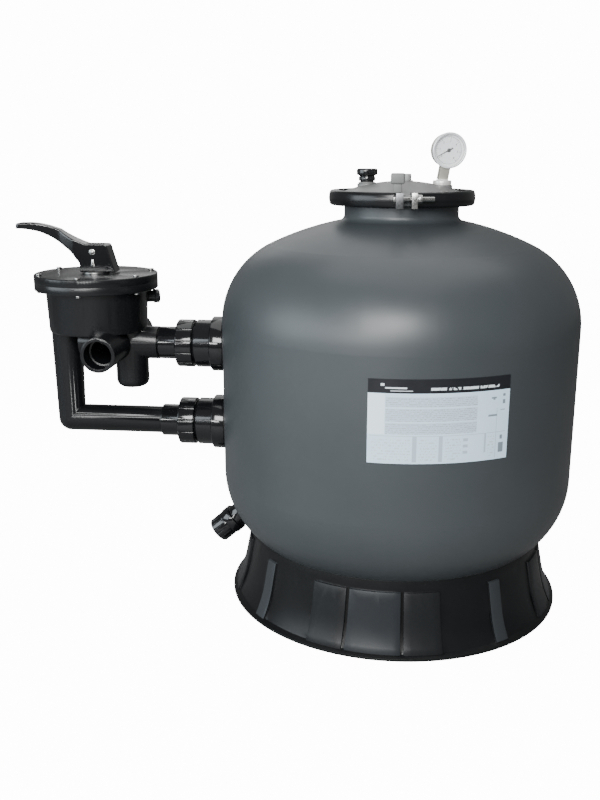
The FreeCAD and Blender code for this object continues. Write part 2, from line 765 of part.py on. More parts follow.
def make_gauge():
    """Pressure gauge: bushing, case with stem, bezel, dial, pointer and lens."""
    low = lid_surface(d.gauge_offset) + 1
    bushing = turned("gauge_bushing", [
        (5, low - 12),
        (d.gauge_bushing_radius / 2, low - 12),
        (d.gauge_bushing_radius / 2, low),
        (d.gauge_bushing_radius, low),
        (d.gauge_bushing_radius, low + d.gauge_bushing_height - 1),
        (d.gauge_bushing_radius - 1, low + d.gauge_bushing_height),
        (5, low + d.gauge_bushing_height),
    ], None, d.gauge_offset)
    keep(bushing, "gauge_bushing")
    stem_place, face_place = gauge_frame()
    back = -d.gauge_depth / 2
    front = d.gauge_depth / 2
    wall = d.gauge_wall
    inner = d.gauge_radius - d.gauge_rim
    case = turned("case_form", [
        (0, back),
        (d.gauge_radius - 5, back),
        (d.gauge_radius - 2, back + 3, 3.5),
        (d.gauge_radius - 2, front - 5),
        (inner, front - 5),
        (inner, front - 8),
        (d.gauge_radius - 2 - 2 * wall, front - 8),
        (d.gauge_radius - 2 - 2 * wall, back + 2 * wall),
        (0, back + 2 * wall),
    ])
    case.Placement = face_place
    stem = doc.addObject("Part::Box", "gauge_stem_bar")
    bind(stem, "Length", d.gauge_stem_side)
    bind(stem, "Width", d.gauge_stem_depth)
    bind(stem, "Height", d.gauge_stem_length + 1)
    corner = Vector(-d.gauge_stem_side.value / 2, -d.gauge_stem_depth.value / 2, 1)
    stem.Placement = stem_place.multiply(FreeCAD.Placement(corner, Rotation()))
    foot = doc.addObject("Part::Cylinder", "gauge_stem_foot")
    foot.Radius = 4.9
    foot.Height = 16
    foot.Placement = FreeCAD.Placement(
        Vector(d.gauge_offset.value, 0, low.value + d.gauge_bushing_height.value - 12), Rotation())
    clear = doc.addObject("Part::Cylinder", "gauge_stem_clear")
    clear.Radius = 40
    clear.Height = 10
    clear.Placement = FreeCAD.Placement(
        Vector(d.gauge_offset.value, 0, low.value + d.gauge_bushing_height.value - 10), Rotation())
    room = doc.addObject("Part::Cylinder", "gauge_room")
    bind(room, "Radius", inner)
    bind(room, "Height", d.gauge_depth)
    depth = (back + 2 * wall).value
    room.Placement = face_place.multiply(FreeCAD.Placement(Vector(0, 0, depth), Rotation()))
    trimmed = cut("gauge_stem_trimmed", stem, compound("stem_trims", [clear, room]))
    keep(fuse("gauge_case", [case, trimmed, foot]), "gauge_case")
    bezel = turned("gauge_bezel", [
        (inner, front - 5),
        (d.gauge_radius, front - 5),
        (d.gauge_radius, front - 1),
        (d.gauge_radius - 1, front, 1.2),
        (inner + 0.4, front),
        (inner - 0.8, front - 1.6),
        (inner, front - 1.6),
    ])
    dial = ring("gauge_dial", inner, 1.2 + d.running_fit, front - 8, front - 7)
    lens = turned("gauge_lens", [(0, front - 3.1), (inner, front - 3.1), (inner, front - 1.6),
                                 (0, front - 1.6)])
    pointer = make_pointer(front)
    for piece, label in ((bezel, "gauge_bezel"), (dial, "gauge_dial"), (lens, "gauge_lens")):
        piece.Placement = face_place
        keep(piece, label)
    pointer.Placement = face_place
    return keep(pointer, "gauge_pointer")


def make_pointer(front):
    """Pointer blade with its hub and arbor, pointing down to the left at rest."""
    arbor = cylinder("pointer_arbor", 1.2, 6, 0, 0, front - 9.5)
    hub = cylinder("pointer_hub", 2.6, 1.6, 0, 0, front - 6.2)
    blade = padded("pointer_blade", [(-5, -1.6), (5, -1), (20, -0.35), (20, 0.35), (5, 1), (-5, 1.6)],
                   "XY_Plane", 0.8)
    blade.Placement = FreeCAD.Placement(Vector(0, 0, (front - 5.6).value), about_z(217))
    return fuse("gauge_pointer", [arbor, hub, blade])


# ---------------------------------------------------------------- unions

def outward(height):
    """Placement whose Z axis runs from the tank's axis towards the valve at a port's height."""
    return {"x": 0, "z": height, "rotation": TOWARDS["-X"]}


def make_union(level, height):
    """Bulkhead, gasket, locknut, tail, O-ring and union nut of one port."""
    spot = outward(height)
    outer_wall = cylinder(f"{level}_wall_outer", d.tank_radius, 200, 0, 0, height - 100)
    seat_wall = cylinder(f"{level}_wall_seat", d.tank_radius + d.gasket_thickness, 200, 0, 0, height - 100)
    inner_wall = cylinder(f"{level}_wall_inner", d.tank_radius - d.tank_wall, 200, 0, 0, height - 100)
    bore = d.port_bore
    shank_start = d.tank_radius - d.tank_wall - d.locknut_width
    ring_low = d.union_ring_radius - 1.2 * d.union_ring_section
    ring_high = d.union_ring_radius + 1.2 * d.union_ring_section
    groove = d.port_end - 2 * d.union_ring_section
    body = turned(f"{level}_bulkhead_form", [
        (bore, d.port_flange_face),
        (d.port_flange_radius - 2, d.port_flange_face),
        (d.port_flange_radius, d.port_flange_face - 2),
        (d.port_flange_radius, d.tank_radius - 8),
        (bore, d.tank_radius - 8),
    ], None, **spot)
    flange = cut(f"{level}_flange_seated", body, seat_wall)
    tube = turned(f"{level}_bulkhead_tube", [
        (bore, shank_start - 4),
        (d.shank_radius, shank_start - 4),
        (d.shank_radius, d.port_flange_face - 5),
        (d.port_collar_radius, d.port_flange_face - 5),
        (d.port_collar_radius, d.port_collar_face),
        (d.port_thread_radius, d.port_collar_face),
        (d.port_thread_radius, d.port_end),
        (ring_high, d.port_end),
        (ring_high, groove),
        (ring_low, groove),
        (ring_low, d.port_end),
        (bore, d.port_end),
    ], None, **spot)
    keep(fuse(f"{level}_bulkhead", [flange, tube]), f"{level}_bulkhead")
    blank = ring(f"{level}_gasket_blank", d.gasket_radius, d.shank_radius, d.tank_radius - 8,
                 d.tank_radius + 8, **spot)
    gasket = common(f"{level}_gasket_trimmed", blank, seat_wall)
    keep(cut(f"{level}_gasket", gasket, outer_wall), f"{level}_gasket")
    nut_blank = ring(f"{level}_locknut_blank", d.locknut_radius, d.shank_radius,
                     shank_start, d.tank_radius, **spot)
    keep(common(f"{level}_locknut", nut_blank, inner_wall), f"{level}_locknut")
    torus_ring(f"{level}_union_o_ring", d.union_ring_radius, d.union_ring_section,
               -(d.port_end - d.union_ring_section), 0, height, "-X")
    tail = turned(f"{level}_union_tail", [
        (bore, d.port_end),
        (d.tail_flange_radius, d.port_end),
        (d.tail_flange_radius, d.port_end + d.tail_flange_width),
        (d.tail_radius, d.port_end + d.tail_flange_width),
        (d.tail_radius, d.tail_end - 1.5),
        (d.tail_radius - 1.5, d.tail_end),
        (d.pipe_radius + d.running_fit, d.tail_end),
        (d.pipe_radius + d.running_fit, d.tail_end - d.socket_depth),
        (bore, d.tail_end - d.socket_depth),
    ], None, **spot)
    keep(tail, f"{level}_union_tail")
    make_union_nut(level, height)


def make_union_nut(level, height):
    """Union nut with a lip that pulls the tail's flange against the bulkhead."""
    lip = d.port_end + d.tail_flange_width + d.moving_gap
    round_off = 3
    form = turned(f"{level}_nut_form", [
        (d.port_thread_radius + d.thread_gap, d.union_nut_start),
        (d.union_nut_radius - 1, d.union_nut_start),
        (d.union_nut_radius, d.union_nut_start + 1),
        (d.union_nut_radius, d.union_nut_end - round_off),
        (d.union_nut_radius - round_off, d.union_nut_end, round_off + 0.6),
        (d.tail_radius + d.moving_gap, d.union_nut_end),
        (d.tail_radius + d.moving_gap, lip),
        (d.port_thread_radius + d.thread_gap, lip),
    ], None, **outward(height))
    grips = []
    count = int(d.grip_count.value)
    for index in range(count):
        angle = 2 * math.pi * (index + 0.5) / count
        grips.append(cylinder(f"{level}_nut_grip_{index}", d.grip_radius, 60, -(d.union_nut_start - 5),
                              (d.union_nut_radius + 0.4) * math.cos(angle),
                              height + (d.union_nut_radius + 0.4) * math.sin(angle), "-X"))
    keep(cut(f"{level}_union_nut", form, compound(f"{level}_nut_grips", grips)), f"{level}_union_nut")


def make_pipes():
    """Short pipe to the upper union, and the drop pipe from the valve to the lower union."""
    pipe_end = d.tail_end - d.socket_depth
    insert = 27
    upper = ring("upper_pipe", d.pipe_radius, d.pipe_bore, pipe_end, d.elbow_end + insert,
                 **outward(d.upper_port))
    keep(upper, "upper_pipe")
    leg_top = d.bowl_bottom - 5
    corner = d.leg_foot_radius
    leg_form = cone("leg_form", d.leg_foot_radius, d.leg_top_radius, leg_top - d.lower_port,
                    -d.leg_offset, 0, d.lower_port)
    run_form = cylinder("run_form", d.leg_foot_radius - d.running_fit * 4, d.leg_offset - d.tail_end - 2,
                        -d.leg_offset, 0, d.lower_port, "+X")
    end_form = cylinder("end_form", d.pipe_radius, d.leg_offset - pipe_end, -d.leg_offset, 0,
                        d.lower_port, "+X")
    knee = doc.addObject("Part::Sphere", "knee_form")
    bind(knee, "Radius", corner)
    place(knee, -d.leg_offset, 0, d.lower_port)
    bore_leg = cylinder("leg_bore", d.pipe_bore, leg_top - d.lower_port + 1, -d.leg_offset, 0, d.lower_port)
    bore_run = cylinder("run_bore", d.pipe_bore, d.leg_offset - pipe_end + 1, -d.leg_offset, 0,
                        d.lower_port, "+X")
    bore_knee = doc.addObject("Part::Sphere", "knee_bore")
    bind(bore_knee, "Radius", d.pipe_bore)
    place(bore_knee, -d.leg_offset, 0, d.lower_port)
    outer = fuse("drop_outer", [leg_form, run_form, end_form, knee])
    inner = fuse("drop_inner", [bore_leg, bore_run, bore_knee])
    return keep(cut("drop_pipe", outer, inner), "drop_pipe")


# ---------------------------------------------------------------- valve

def at_valve():
    """Place of the valve's own axis."""
    return {"x": -d.valve_offset}


def make_valve_body():
    """Bowl with its flange, the port chambers below it and the blind elbow towards the tank."""
    x = -d.valve_offset
    bowl = turned("bowl_form", [
        (0, d.bowl_bottom),
        (d.bowl_foot_radius - 3, d.bowl_bottom),
        (d.bowl_foot_radius, d.bowl_bottom + 3, 3.2),
        (d.bowl_radius, d.valve_flange_bottom),
        (d.valve_flange_radius - 1, d.valve_flange_bottom),
        (d.valve_flange_radius, d.valve_flange_bottom + 1),
        (d.valve_flange_radius, d.valve_flange_split),
        (0, d.valve_flange_split),
    ], None, **at_valve())
    room = cylinder("bowl_room", d.bowl_foot_radius - d.bowl_wall,
                    d.valve_flange_split - d.bowl_bottom - d.bowl_floor + 1, x, 0,
                    d.bowl_bottom + d.bowl_floor)
    height = d.upper_port
    through = d.port_radius - 1
    chamber = cylinder("chamber_form", through, d.leg_offset - d.elbow_offset - 30,
                       -d.leg_offset + 30, 0, height, "+X")
    front = cylinder("front_port_form", d.port_radius, d.port_mouth, -d.front_port_offset, 0, height, "-Y")
    rear = cylinder("rear_port_form", d.port_radius, d.port_mouth, -d.front_port_offset, 0, height, "+Y")
    waste = cylinder("waste_port_form", d.port_radius, d.port_mouth - d.waste_port_start,
                     -d.rear_port_offset, d.waste_port_start, height, "+Y")
    well = d.port_radius * 2 / 3
    wells = []
    for name, across, depth in (("front", -d.front_port_offset, -40), ("rear", -d.front_port_offset, 40),
                                ("waste", -d.rear_port_offset, 46)):
        wells.append(cylinder(f"{name}_well_form", well, d.bowl_bottom - height + 4, across, depth, height))
    elbow_well = cylinder("elbow_form", d.elbow_radius, d.bowl_bottom + 4 - d.elbow_bottom - d.elbow_round,
                          -d.elbow_offset, 0, d.elbow_bottom + d.elbow_round)
    elbow_foot = turned("elbow_foot", [
        (0, d.elbow_bottom),
        (d.elbow_radius - d.elbow_round, d.elbow_bottom),
        (d.elbow_radius, d.elbow_bottom + d.elbow_round, d.elbow_round),
        (d.elbow_radius, d.elbow_bottom + d.elbow_round + 2),
        (0, d.elbow_bottom + d.elbow_round + 2),
    ], None, -d.elbow_offset)
    arm = cylinder("elbow_arm", d.elbow_radius, d.elbow_offset - d.elbow_end, -d.elbow_offset, 0, height,
                   "+X")
    leg_socket = cylinder("leg_socket", d.leg_top_radius + 0.5, 6, -d.leg_offset, 0, d.bowl_bottom - 5)
    outer = fuse("valve_body_form", [bowl, chamber, front, rear, waste, *wells, elbow_well, elbow_foot, arm,
                                     leg_socket])
    tools = [room]
    socket = d.pipe_radius + d.running_fit
    for name, across, towards in (("front", -d.front_port_offset, "-Y"),
                                  ("rear", -d.front_port_offset, "+Y"),
                                  ("waste", -d.rear_port_offset, "+Y")):
        sign = -1 if towards == "-Y" else 1
        start = d.waste_port_start + 6 if name == "waste" else as_size(8)
        tools.append(cylinder(f"{name}_bore", d.pipe_bore, d.port_mouth - start, across, start * sign,
                              height, towards))
        tools.append(cylinder(f"{name}_socket", socket, 40, across, sign * (d.port_mouth - d.socket_depth),
                              height, towards))
        well_depth = 46 if name == "waste" else 40
        tools.append(cylinder(f"{name}_way", d.port_bore / 2, d.bowl_bottom + d.bowl_floor - height + 1,
                              across, well_depth * sign, height))
    tools.append(cylinder("arm_bore", d.pipe_bore, d.elbow_offset - d.elbow_end, -d.elbow_offset + 10, 0,
                          height, "+X"))
    tools.append(cylinder("arm_socket", socket, 50, -d.elbow_end - 27, 0, height, "+X"))
    tools.append(cylinder("arm_way", 10, d.bowl_bottom + d.bowl_floor - height + 1, -d.elbow_offset + 11, 0,
                          height))
    tools.append(cylinder("leg_way", 17, d.bowl_floor + 10, -d.leg_offset + 5, 0, d.bowl_bottom - 1))
    tools.append(cylinder("leg_seat", d.leg_top_radius, 6, -d.leg_offset, 0, d.bowl_bottom - 6))
    tools.append(valve_screw_set("body_screw_hole", d.screw_radius, d.valve_flange_bottom - 5,
                                 d.valve_flange_split + 5))
    tools.append(sight_hole())
    return keep(cut("valve_body", outer, fuse("valve_body_tools", tools)), "valve_body")


def sight_place(length):
    """Placement along the sight glass's axis, which leaves the bowl between the tank and the rear."""
    turn = about_z(d.sight_offset.value)
    base = Vector(-d.valve_offset.value, 0, d.sight_height.value) + turn.multVec(
        Vector(d.bowl_radius.value + length, 0, 0))
    return FreeCAD.Placement(base, turn.multiply(TOWARDS["+X"]))


def sight_hole():
    """Hole through the bowl's wall for the sight glass."""
    hole = doc.addObject("Part::Cylinder", "sight_hole")
    bind(hole, "Radius", d.sight_radius - 3)
    bind(hole, "Height", d.bowl_wall + 12)
    hole.Placement = sight_place(-16)
    return hole


def make_sight_glass():
    """Threaded sight glass in the bowl's wall."""
    glass = turned("sight_form", [
        (0, 0 - d.bowl_wall),
        (d.sight_radius - 3, 0 - d.bowl_wall),
        (d.sight_radius - 3, 1),
        (d.sight_radius, 1),
        (d.sight_radius, d.sight_length - 10),
        (d.sight_radius + 2, d.sight_length - 10),
        (d.sight_radius + 2, d.sight_length - 1),
        (d.sight_radius + 1, d.sight_length),
        (0, d.sight_length),
    ])
    glass.Placement = sight_place(0)
    wall = cone("sight_wall", d.bowl_foot_radius + 0.1, d.bowl_radius + 0.1,
                d.valve_flange_bottom - d.bowl_bottom, -d.valve_offset, 0, d.bowl_bottom)
    keeper = doc.addObject("Part::Cylinder", "sight_keep")
    bind(keeper, "Radius", d.sight_radius - 3)
    bind(keeper, "Height", d.bowl_wall + 6)
    keeper.Placement = sight_place(-d.bowl_wall.value)
    outside = cut("sight_outside", glass, wall)
    inside = common("sight_inside", glass, keeper)
    return keep(fuse("sight_glass", [outside, inside]), "sight_glass")


def valve_screw_set(name, radius, low, high, count=6):
    """Round bars on the screw circle of the valve's flange."""
    bars = []
    for index in range(count):
        angle = math.radians(-90 + 360 / count * index)
        bars.append(cylinder(f"{name}_{index}", radius, high - low,
                             -d.valve_offset + d.screw_circle * math.cos(angle),
                             d.screw_circle * math.sin(angle), low))
    return compound(f"{name}s", bars)


def make_valve_lid():
    """Valve lid with the spigot that fits in the bowl and the stem's guide."""
    bore = d.stem_radius + d.running_fit
    spigot = d.bowl_foot_radius - d.bowl_wall - 0.2
    section = d.valve_ring_section
    groove = spigot - 2 * section + 0.2
    spigot_low = d.valve_flange_split - d.spigot_depth
    under = d.valve_top - d.lid_plate
    guide = d.stem_radius + 4.5
    guide_low = under - 12
    form = turned("valve_lid_form", [
        (bore, guide_low),
        (guide, guide_low),
        (guide, under),
        (spigot - d.spigot_wall, under),
        (spigot - d.spigot_wall, spigot_low),
        (spigot, spigot_low),
        (spigot, spigot_low + 2),
        (groove, spigot_low + 2),
        (groove, spigot_low + 2 + 2 * section),
        (spigot, spigot_low + 2 + 2 * section),
        (spigot, d.valve_flange_split),
        (d.valve_flange_radius, d.valve_flange_split),
        (d.valve_flange_radius, d.valve_top - 2),
        (d.valve_flange_radius - 2, d.valve_top, 2.4),
        (bore + 2 * section, d.valve_top),
        (bore + 2 * section, d.valve_top - 2 * section),
        (bore, d.valve_top - 2 * section),
    ], None, **at_valve())
    holes = valve_screw_set("lid_screw_hole", d.screw_radius, d.valve_flange_split - 5, d.valve_top + 5)
    keep(cut("valve_lid", form, holes), "valve_lid")
    torus_ring("valve_lid_o_ring", spigot - section + 0.2, section, -d.valve_offset, 0,
               spigot_low + 2 + section)
    torus_ring("stem_o_ring", bore + section, section, -d.valve_offset, 0, d.valve_top - section)


def make_valve_bolts(count=6):
    """Flange bolts with their nuts, as separate solids of one group."""
    solids = []
    low = d.valve_flange_bottom - d.screw_head_height
    for index in range(count):
        angle = math.radians(-90 + 360 / count * index)
        x = -d.valve_offset + d.screw_circle * math.cos(angle)
        y = d.screw_circle * math.sin(angle)
        shank = cylinder(f"flange_shank_{index}", d.screw_radius, d.valve_top + 1 - low, x, y, low)
        head = cylinder(f"flange_head_{index}", d.screw_head_radius, d.screw_head_height - 1, x, y,
                        d.valve_top)
        nut = doc.addObject("Part::Prism", f"flange_nut_{index}")
        nut.Polygon = 6
        bind(nut, "Circumradius", d.screw_head_radius)
        bind(nut, "Height", d.screw_head_height)
        place(nut, x, y, low)
        solids.append(fuse(f"flange_bolt_{index}", [shank, head, nut]))
    return keep(compound("valve_bolts", solids), "valve_bolts")


def make_valve_works():
    """Spider gasket, rotor, spring, stem and thrust washer."""
    x = -d.valve_offset
    floor = d.bowl_bottom + d.bowl_floor
    gasket_top = floor + d.spider_thickness
    room_radius = d.bowl_foot_radius - d.bowl_wall
    disc = ring("spider_disc", room_radius, 8, floor, gasket_top, x)
    windows = []
    for index in range(6):
        angle = math.radians(60 * index)
        windows.append(cylinder(f"spider_window_{index}", room_radius / 4, 10, x + 50 * math.cos(angle),
                                50 * math.sin(angle), floor - 2))
    keep(cut("spider_gasket", disc, compound("spider_windows", windows)), "spider_gasket")
    stem = d.stem_radius
    rotor_low = gasket_top + 0.1
    rotor = turned("rotor_form", [
        (stem, rotor_low),
        (d.rotor_radius, rotor_low),
        (d.rotor_radius, rotor_low + d.rotor_plate),
        (d.rotor_hub_radius, rotor_low + d.rotor_height - 8),
        (stem + 4, rotor_low + d.rotor_height - 8),
        (stem + 4, rotor_low + d.rotor_height),
        (stem, rotor_low + d.rotor_height),
    ], None, x)
    window = cylinder("rotor_window", room_radius / 4, 60, x, -50, rotor_low - 5)
    keep(cut("valve_rotor", rotor, window), "valve_rotor")
    stem_form = turned("stem_form", [
        (0, rotor_low),
        (stem, rotor_low),
        (stem, d.stem_top - 2),
        (stem - 2, d.stem_top),
        (0, d.stem_top),
    ], None, x)
    pin_hole = cylinder("stem_pin_hole", d.pin_radius + d.running_fit, 60, x, -30, d.pin_height, "+Y")
    keep(cut("valve_stem", stem_form, pin_hole), "valve_stem")
    washer_low = d.valve_top + 0.2
    keep(ring("thrust_washer", d.washer_radius, stem + d.running_fit, washer_low,
              washer_low + d.washer_thickness, x), "thrust_washer")
    make_spring(x, rotor_low + d.rotor_height - 8, d.valve_top - d.lid_plate)


def make_spring(x, low, high):
    """Compression spring between the rotor and the lid."""
    wire = d.spring_wire
    helix = doc.addObject("Part::Helix", "spring_path")
    rise = high - low - 2 * wire - 1
    bind(helix, "Radius", d.spring_radius)
    bind(helix, "Pitch", rise / d.spring_turns)
    bind(helix, "Height", rise)
    place(helix, x, 0, low + wire + 0.5)
    section = doc.addObject("Part::Circle", "spring_section")
    bind(section, "Radius", wire)
    place(section, x + d.spring_radius, 0, low + wire + 0.5, TOWARDS["-Y"])
    spring = doc.addObject("Part::Sweep", "valve_spring")
    spring.Sections = [section]
    spring.Spine = (helix, [])
    spring.Solid = True
    spring.Frenet = True
    return keep(spring, "valve_spring")


# ---------------------------------------------------------------- handle

def make_handle():
    """Lever with a forked hub that straddles the stem, and its cross pin."""
    x = -d.valve_offset
    low = d.valve_top + 0.2 + d.washer_thickness + 0.2
    side = padded("handle_side", [
        (-d.hub_left, low),
        (d.hub_right, low),
        (d.hub_top_right, d.hub_top - 6),
        (d.hub_top_right - 6, d.hub_top, 6.5),
        (-d.hub_top_left, d.hub_top),
        (-d.hub_top_left - 50, d.hub_top + 25.5, -150),
        (-136, d.hub_top + 36.5, 170),
        (-143, d.hub_top + 34, 6),
        (-144, d.hub_top + 25),
        (-140, d.hub_top + 26, -5),
        (-99.5, d.hub_top + 20.5, -150),
        (-54, d.hub_top - 5, -150),
        (-32, d.hub_top - 27, -60),
        (-d.hub_left, low + 14, -25),
    ], "XZ_Plane", 2 * d.hub_half, x)
    plan = padded("handle_plan", [
        (d.hub_right + 5, -d.hub_half),
        (d.hub_right + 5, d.hub_half),
        (-35, d.hub_half),
        (-60, 11, 120),
        (-100, 12.5, -120),
        (-138, 15, 300),
        (-146, 9, 9),
        (-146, -9),
        (-138, -15, 9),
        (-100, -12.5, 300),
        (-60, -11, -120),
        (-35, -d.hub_half, 120),
    ], "XY_Plane", 400, x, 0, d.hub_top)
    form = common("handle_form", side, plan)
    slot_half = d.stem_radius + d.moving_gap
    slot = doc.addObject("Part::Box", "stem_slot")
    bind(slot, "Length", d.slot_left + d.slot_right)
    bind(slot, "Width", 2 * slot_half)
    bind(slot, "Height", d.stem_top + 2 - low + 1)
    place(slot, x - d.slot_left, -slot_half, low - 1)
    pin_hole = cylinder("handle_pin_hole", d.pin_radius, 60, x, -30, d.pin_height, "+Y")
    keep(cut("handle", form, compound("handle_tools", [slot, pin_hole])), "handle")
    pin = cylinder("handle_pin", d.pin_radius, 2 * d.hub_half - 1, x, -d.hub_half + 0.5, d.pin_height, "+Y")
    return keep(pin, "handle_pin")


# ---------------------------------------------------------------- drain

def make_drain(form):
    """Drain spigot through the lower dome, its gasket and the screwed cap."""
    spot = drain_place()
    skin = d.gasket_thickness
    blank = ring("drain_gasket_blank", d.drain_flange_radius - 2, d.drain_neck_radius - 4, -12, skin)
    blank.Placement = spot
    keep(cut("drain_gasket", blank, form), "drain_gasket")
    bore = d.drain_bore
    shank = d.drain_neck_radius - 4
    spigot = turned("drain_spigot_form", [
        (bore, -14),
        (shank, -14),
        (shank, skin),
        (d.drain_flange_radius, skin),
        (d.drain_flange_radius, skin + d.drain_flange_width),
        (d.drain_neck_radius, skin + d.drain_flange_width),
        (d.drain_neck_radius, d.drain_collar_start),
        (d.drain_collar_radius, d.drain_collar_start),
        (d.drain_collar_radius, d.drain_collar_end),
        (d.drain_neck_radius - 3, d.drain_collar_end),
        (d.drain_neck_radius - 3, d.drain_end - 12),
        (bore, d.drain_end - 12),
    ])
    spigot.Placement = spot
    keep(spigot, "drain_spigot")
    inner = d.drain_neck_radius - 3 + d.thread_gap
    cap_start = d.drain_collar_end + d.moving_gap
    seal_low = d.drain_end - 12 + 0.2
    seal = ring("drain_cap_seal", d.drain_neck_radius - 3, d.drain_bore, seal_low, d.drain_end - 10)
    seal.Placement = spot
    keep(seal, "drain_cap_seal")
    cap = turned("drain_cap_form", [
        (inner, cap_start),
        (d.drain_cap_radius, cap_start),
        (d.drain_cap_radius, d.drain_end - 3),
        (d.drain_cap_radius - 3, d.drain_end, 3.6),
        (0, d.drain_end),
        (0, d.drain_end - 10),
        (inner, d.drain_end - 10),
    ])
    cap.Placement = spot
    grips = []
    count = 16
    for index in range(count):
        angle = 2 * math.pi * index / count
        grip = doc.addObject("Part::Cylinder", f"drain_grip_{index}")
        grip.Radius = 1.5
        bind(grip, "Height", 60)
        reach = d.drain_cap_radius.value + 0.7
        local = Vector(reach * math.cos(angle), reach * math.sin(angle), cap_start.value + 6)
        grip.Placement = spot.multiply(FreeCAD.Placement(local, Rotation()))
        grips.append(grip)
    keep(cut("drain_cap", cap, compound("drain_grips", grips)), "drain_cap")


# ---------------------------------------------------------------- inside the tank

def make_riser():
    """Upper inner pipe: from the upper port to the axis and up to the diffuser."""
    start = d.tank_radius - d.tank_wall - d.locknut_width - 4
    height = d.upper_port
    outer = [
        cylinder("riser_run", d.pipe_radius, start, 0, 0, height, "-X"),
        cylinder("riser_rise", d.pipe_radius, d.riser_height - height, 0, 0, height),
    ]
    knee = doc.addObject("Part::Sphere", "riser_knee")
    bind(knee, "Radius", d.pipe_radius)
    place(knee, 0, 0, height)
    inner = [
        cylinder("riser_run_bore", d.pipe_bore, start + 1, 0, 0, height, "-X"),
        cylinder("riser_rise_bore", d.pipe_bore, d.riser_height - height + 1, 0, 0, height),
    ]
    keep(cut("riser_pipe", fuse("riser_outer", [*outer, knee]), fuse("riser_inner", inner)), "riser_pipe")
    low = d.riser_height
    diffuser = turned("diffuser_form", [
        (d.pipe_bore, low),
        (d.diffuser_radius - 10, low),
        (d.diffuser_radius, low + 10, 10.5),
        (d.diffuser_radius, low + d.diffuser_height - 10),
        (d.diffuser_radius - 10, low + d.diffuser_height, 10.5),
        (0, low + d.diffuser_height),
        (0, low + d.diffuser_height - 5),
        (d.diffuser_radius - 5, low + d.diffuser_height - 5),
        (d.diffuser_radius - 5, low + 5),
        (d.pipe_bore, low + 5),
    ])
    slots = []
    for index in range(8):
        angle = math.radians(45 * index)
        slots.append(cylinder(f"diffuser_slot_{index}", 6, 30,
                              (d.diffuser_radius - 15) * math.cos(angle),
                              (d.diffuser_radius - 15) * math.sin(angle), low + d.diffuser_height - 15))
    keep(cut("diffuser", diffuser, compound("diffuser_slots", slots)), "diffuser")


def lateral_spot(index):
    """Direction of one lateral as an angle in degrees."""
    return 360 / d.lateral_count.value * (index + 0.5)


def make_underdrain():
    """Lower inner pipe, its hub and the slotted laterals around it."""
    start = d.tank_radius - d.tank_wall - d.locknut_width - 4
    height = d.lower_port
    knee = doc.addObject("Part::Sphere", "drop_knee")
    bind(knee, "Radius", d.pipe_radius)
    place(knee, 0, 0, height)
    hub_low = d.hub_centre - d.hub_height / 2
    outer = fuse("underdrain_outer", [
        cylinder("underdrain_run", d.pipe_radius, start, 0, 0, height, "-X"),
        cylinder("underdrain_drop", d.pipe_radius, height - d.hub_centre, 0, 0, d.hub_centre),
        knee,
        cylinder("underdrain_drum", d.hub_radius, d.hub_height, 0, 0, hub_low),
    ])
    tools = [
        cylinder("underdrain_run_bore", d.pipe_bore, start + 1, 0, 0, height, "-X"),
        cylinder("underdrain_drop_bore", d.pipe_bore, height - d.hub_centre, 0, 0, d.hub_centre),
        cylinder("underdrain_drum_bore", d.hub_radius - 6, d.hub_height - 12, 0, 0, hub_low + 6),
    ]
    laterals = []
    for index in range(int(d.lateral_count.value)):
        turn = about_z(lateral_spot(index))
        rotation = turn.multiply(TOWARDS["+X"])
        socket = doc.addObject("Part::Cylinder", f"lateral_socket_{index}")
        bind(socket, "Radius", d.lateral_radius)
        bind(socket, "Height", 20)
        inner_end = turn.multVec(Vector(d.hub_radius.value - 6, 0, 0))
        base = Vector(inner_end.x, inner_end.y, d.hub_centre.value)
        socket.Placement = FreeCAD.Placement(base, rotation)
        tools.append(socket)
        tube = turned(f"lateral_{index}", [
            (d.lateral_bore, 0),
            (d.lateral_radius, 0),
            (d.lateral_radius, d.lateral_length - 3),
            (d.lateral_radius - 3, d.lateral_length, 3.6),
            (0, d.lateral_length),
            (0, d.lateral_length - 3),
            (d.lateral_bore, d.lateral_length - 3),
        ])
        tube.Placement = FreeCAD.Placement(base, rotation)
        laterals.append(tube)
    keep(cut("underdrain_hub", outer, fuse("underdrain_tools", tools)), "underdrain_hub")
    keep(compound("laterals", laterals), "laterals")


def build():
    """Makes every sub-part in the order in which the object is assembled."""
    form = make_tank_core()
    make_skirt()
    make_tank(form, make_tank_room())
    make_label()
    make_lid()
    torus_ring("lid_o_ring", d.lid_ring_radius, d.lid_ring_section, 0, 0,
               d.flange_split - d.lid_ring_section)
    make_clamp_half("clamp_half_left", 180)
    make_clamp_half("clamp_half_right", 0)
    make_closure("", -1)
    make_closure("rear_", 1)
    make_tab()
    make_release()
    make_plug()
    make_gauge()
    for level, height in (("upper", d.upper_port), ("lower", d.lower_port)):
        make_union(level, height)
    make_pipes()
    make_valve_body()
    make_sight_glass()
    make_valve_lid()
    make_valve_bolts()
    make_valve_works()
    make_handle()
    make_drain(form)
    make_riser()
    make_underdrain()


def check_document():
    """Stops if any object failed, or if any node's shape is empty or not valid."""
    for obj in doc.Objects:
        if "Invalid" in obj.State or "Error" in obj.State:
            raise RuntimeError(f"{obj.Name} failed: {obj.State}")
    for obj in nodes:
        if obj.Shape.isNull() or not obj.Shape.isValid() or not obj.Shape.Solids:
            raise RuntimeError(f"{obj.Label} has no valid solid")


def write_parts():
    """Writes each node's shape to its own file."""
    os.makedirs("parts", exist_ok=True)
    for obj in nodes:
        obj.Shape.exportStep(f"parts/{obj.Label}.step")
        print(f"{obj.Label}: {len(obj.Shape.Solids)} solid(s), {obj.Shape.Volume / 1000:.1f} cm3")


build()
doc.recompute()
check_document()
write_parts()
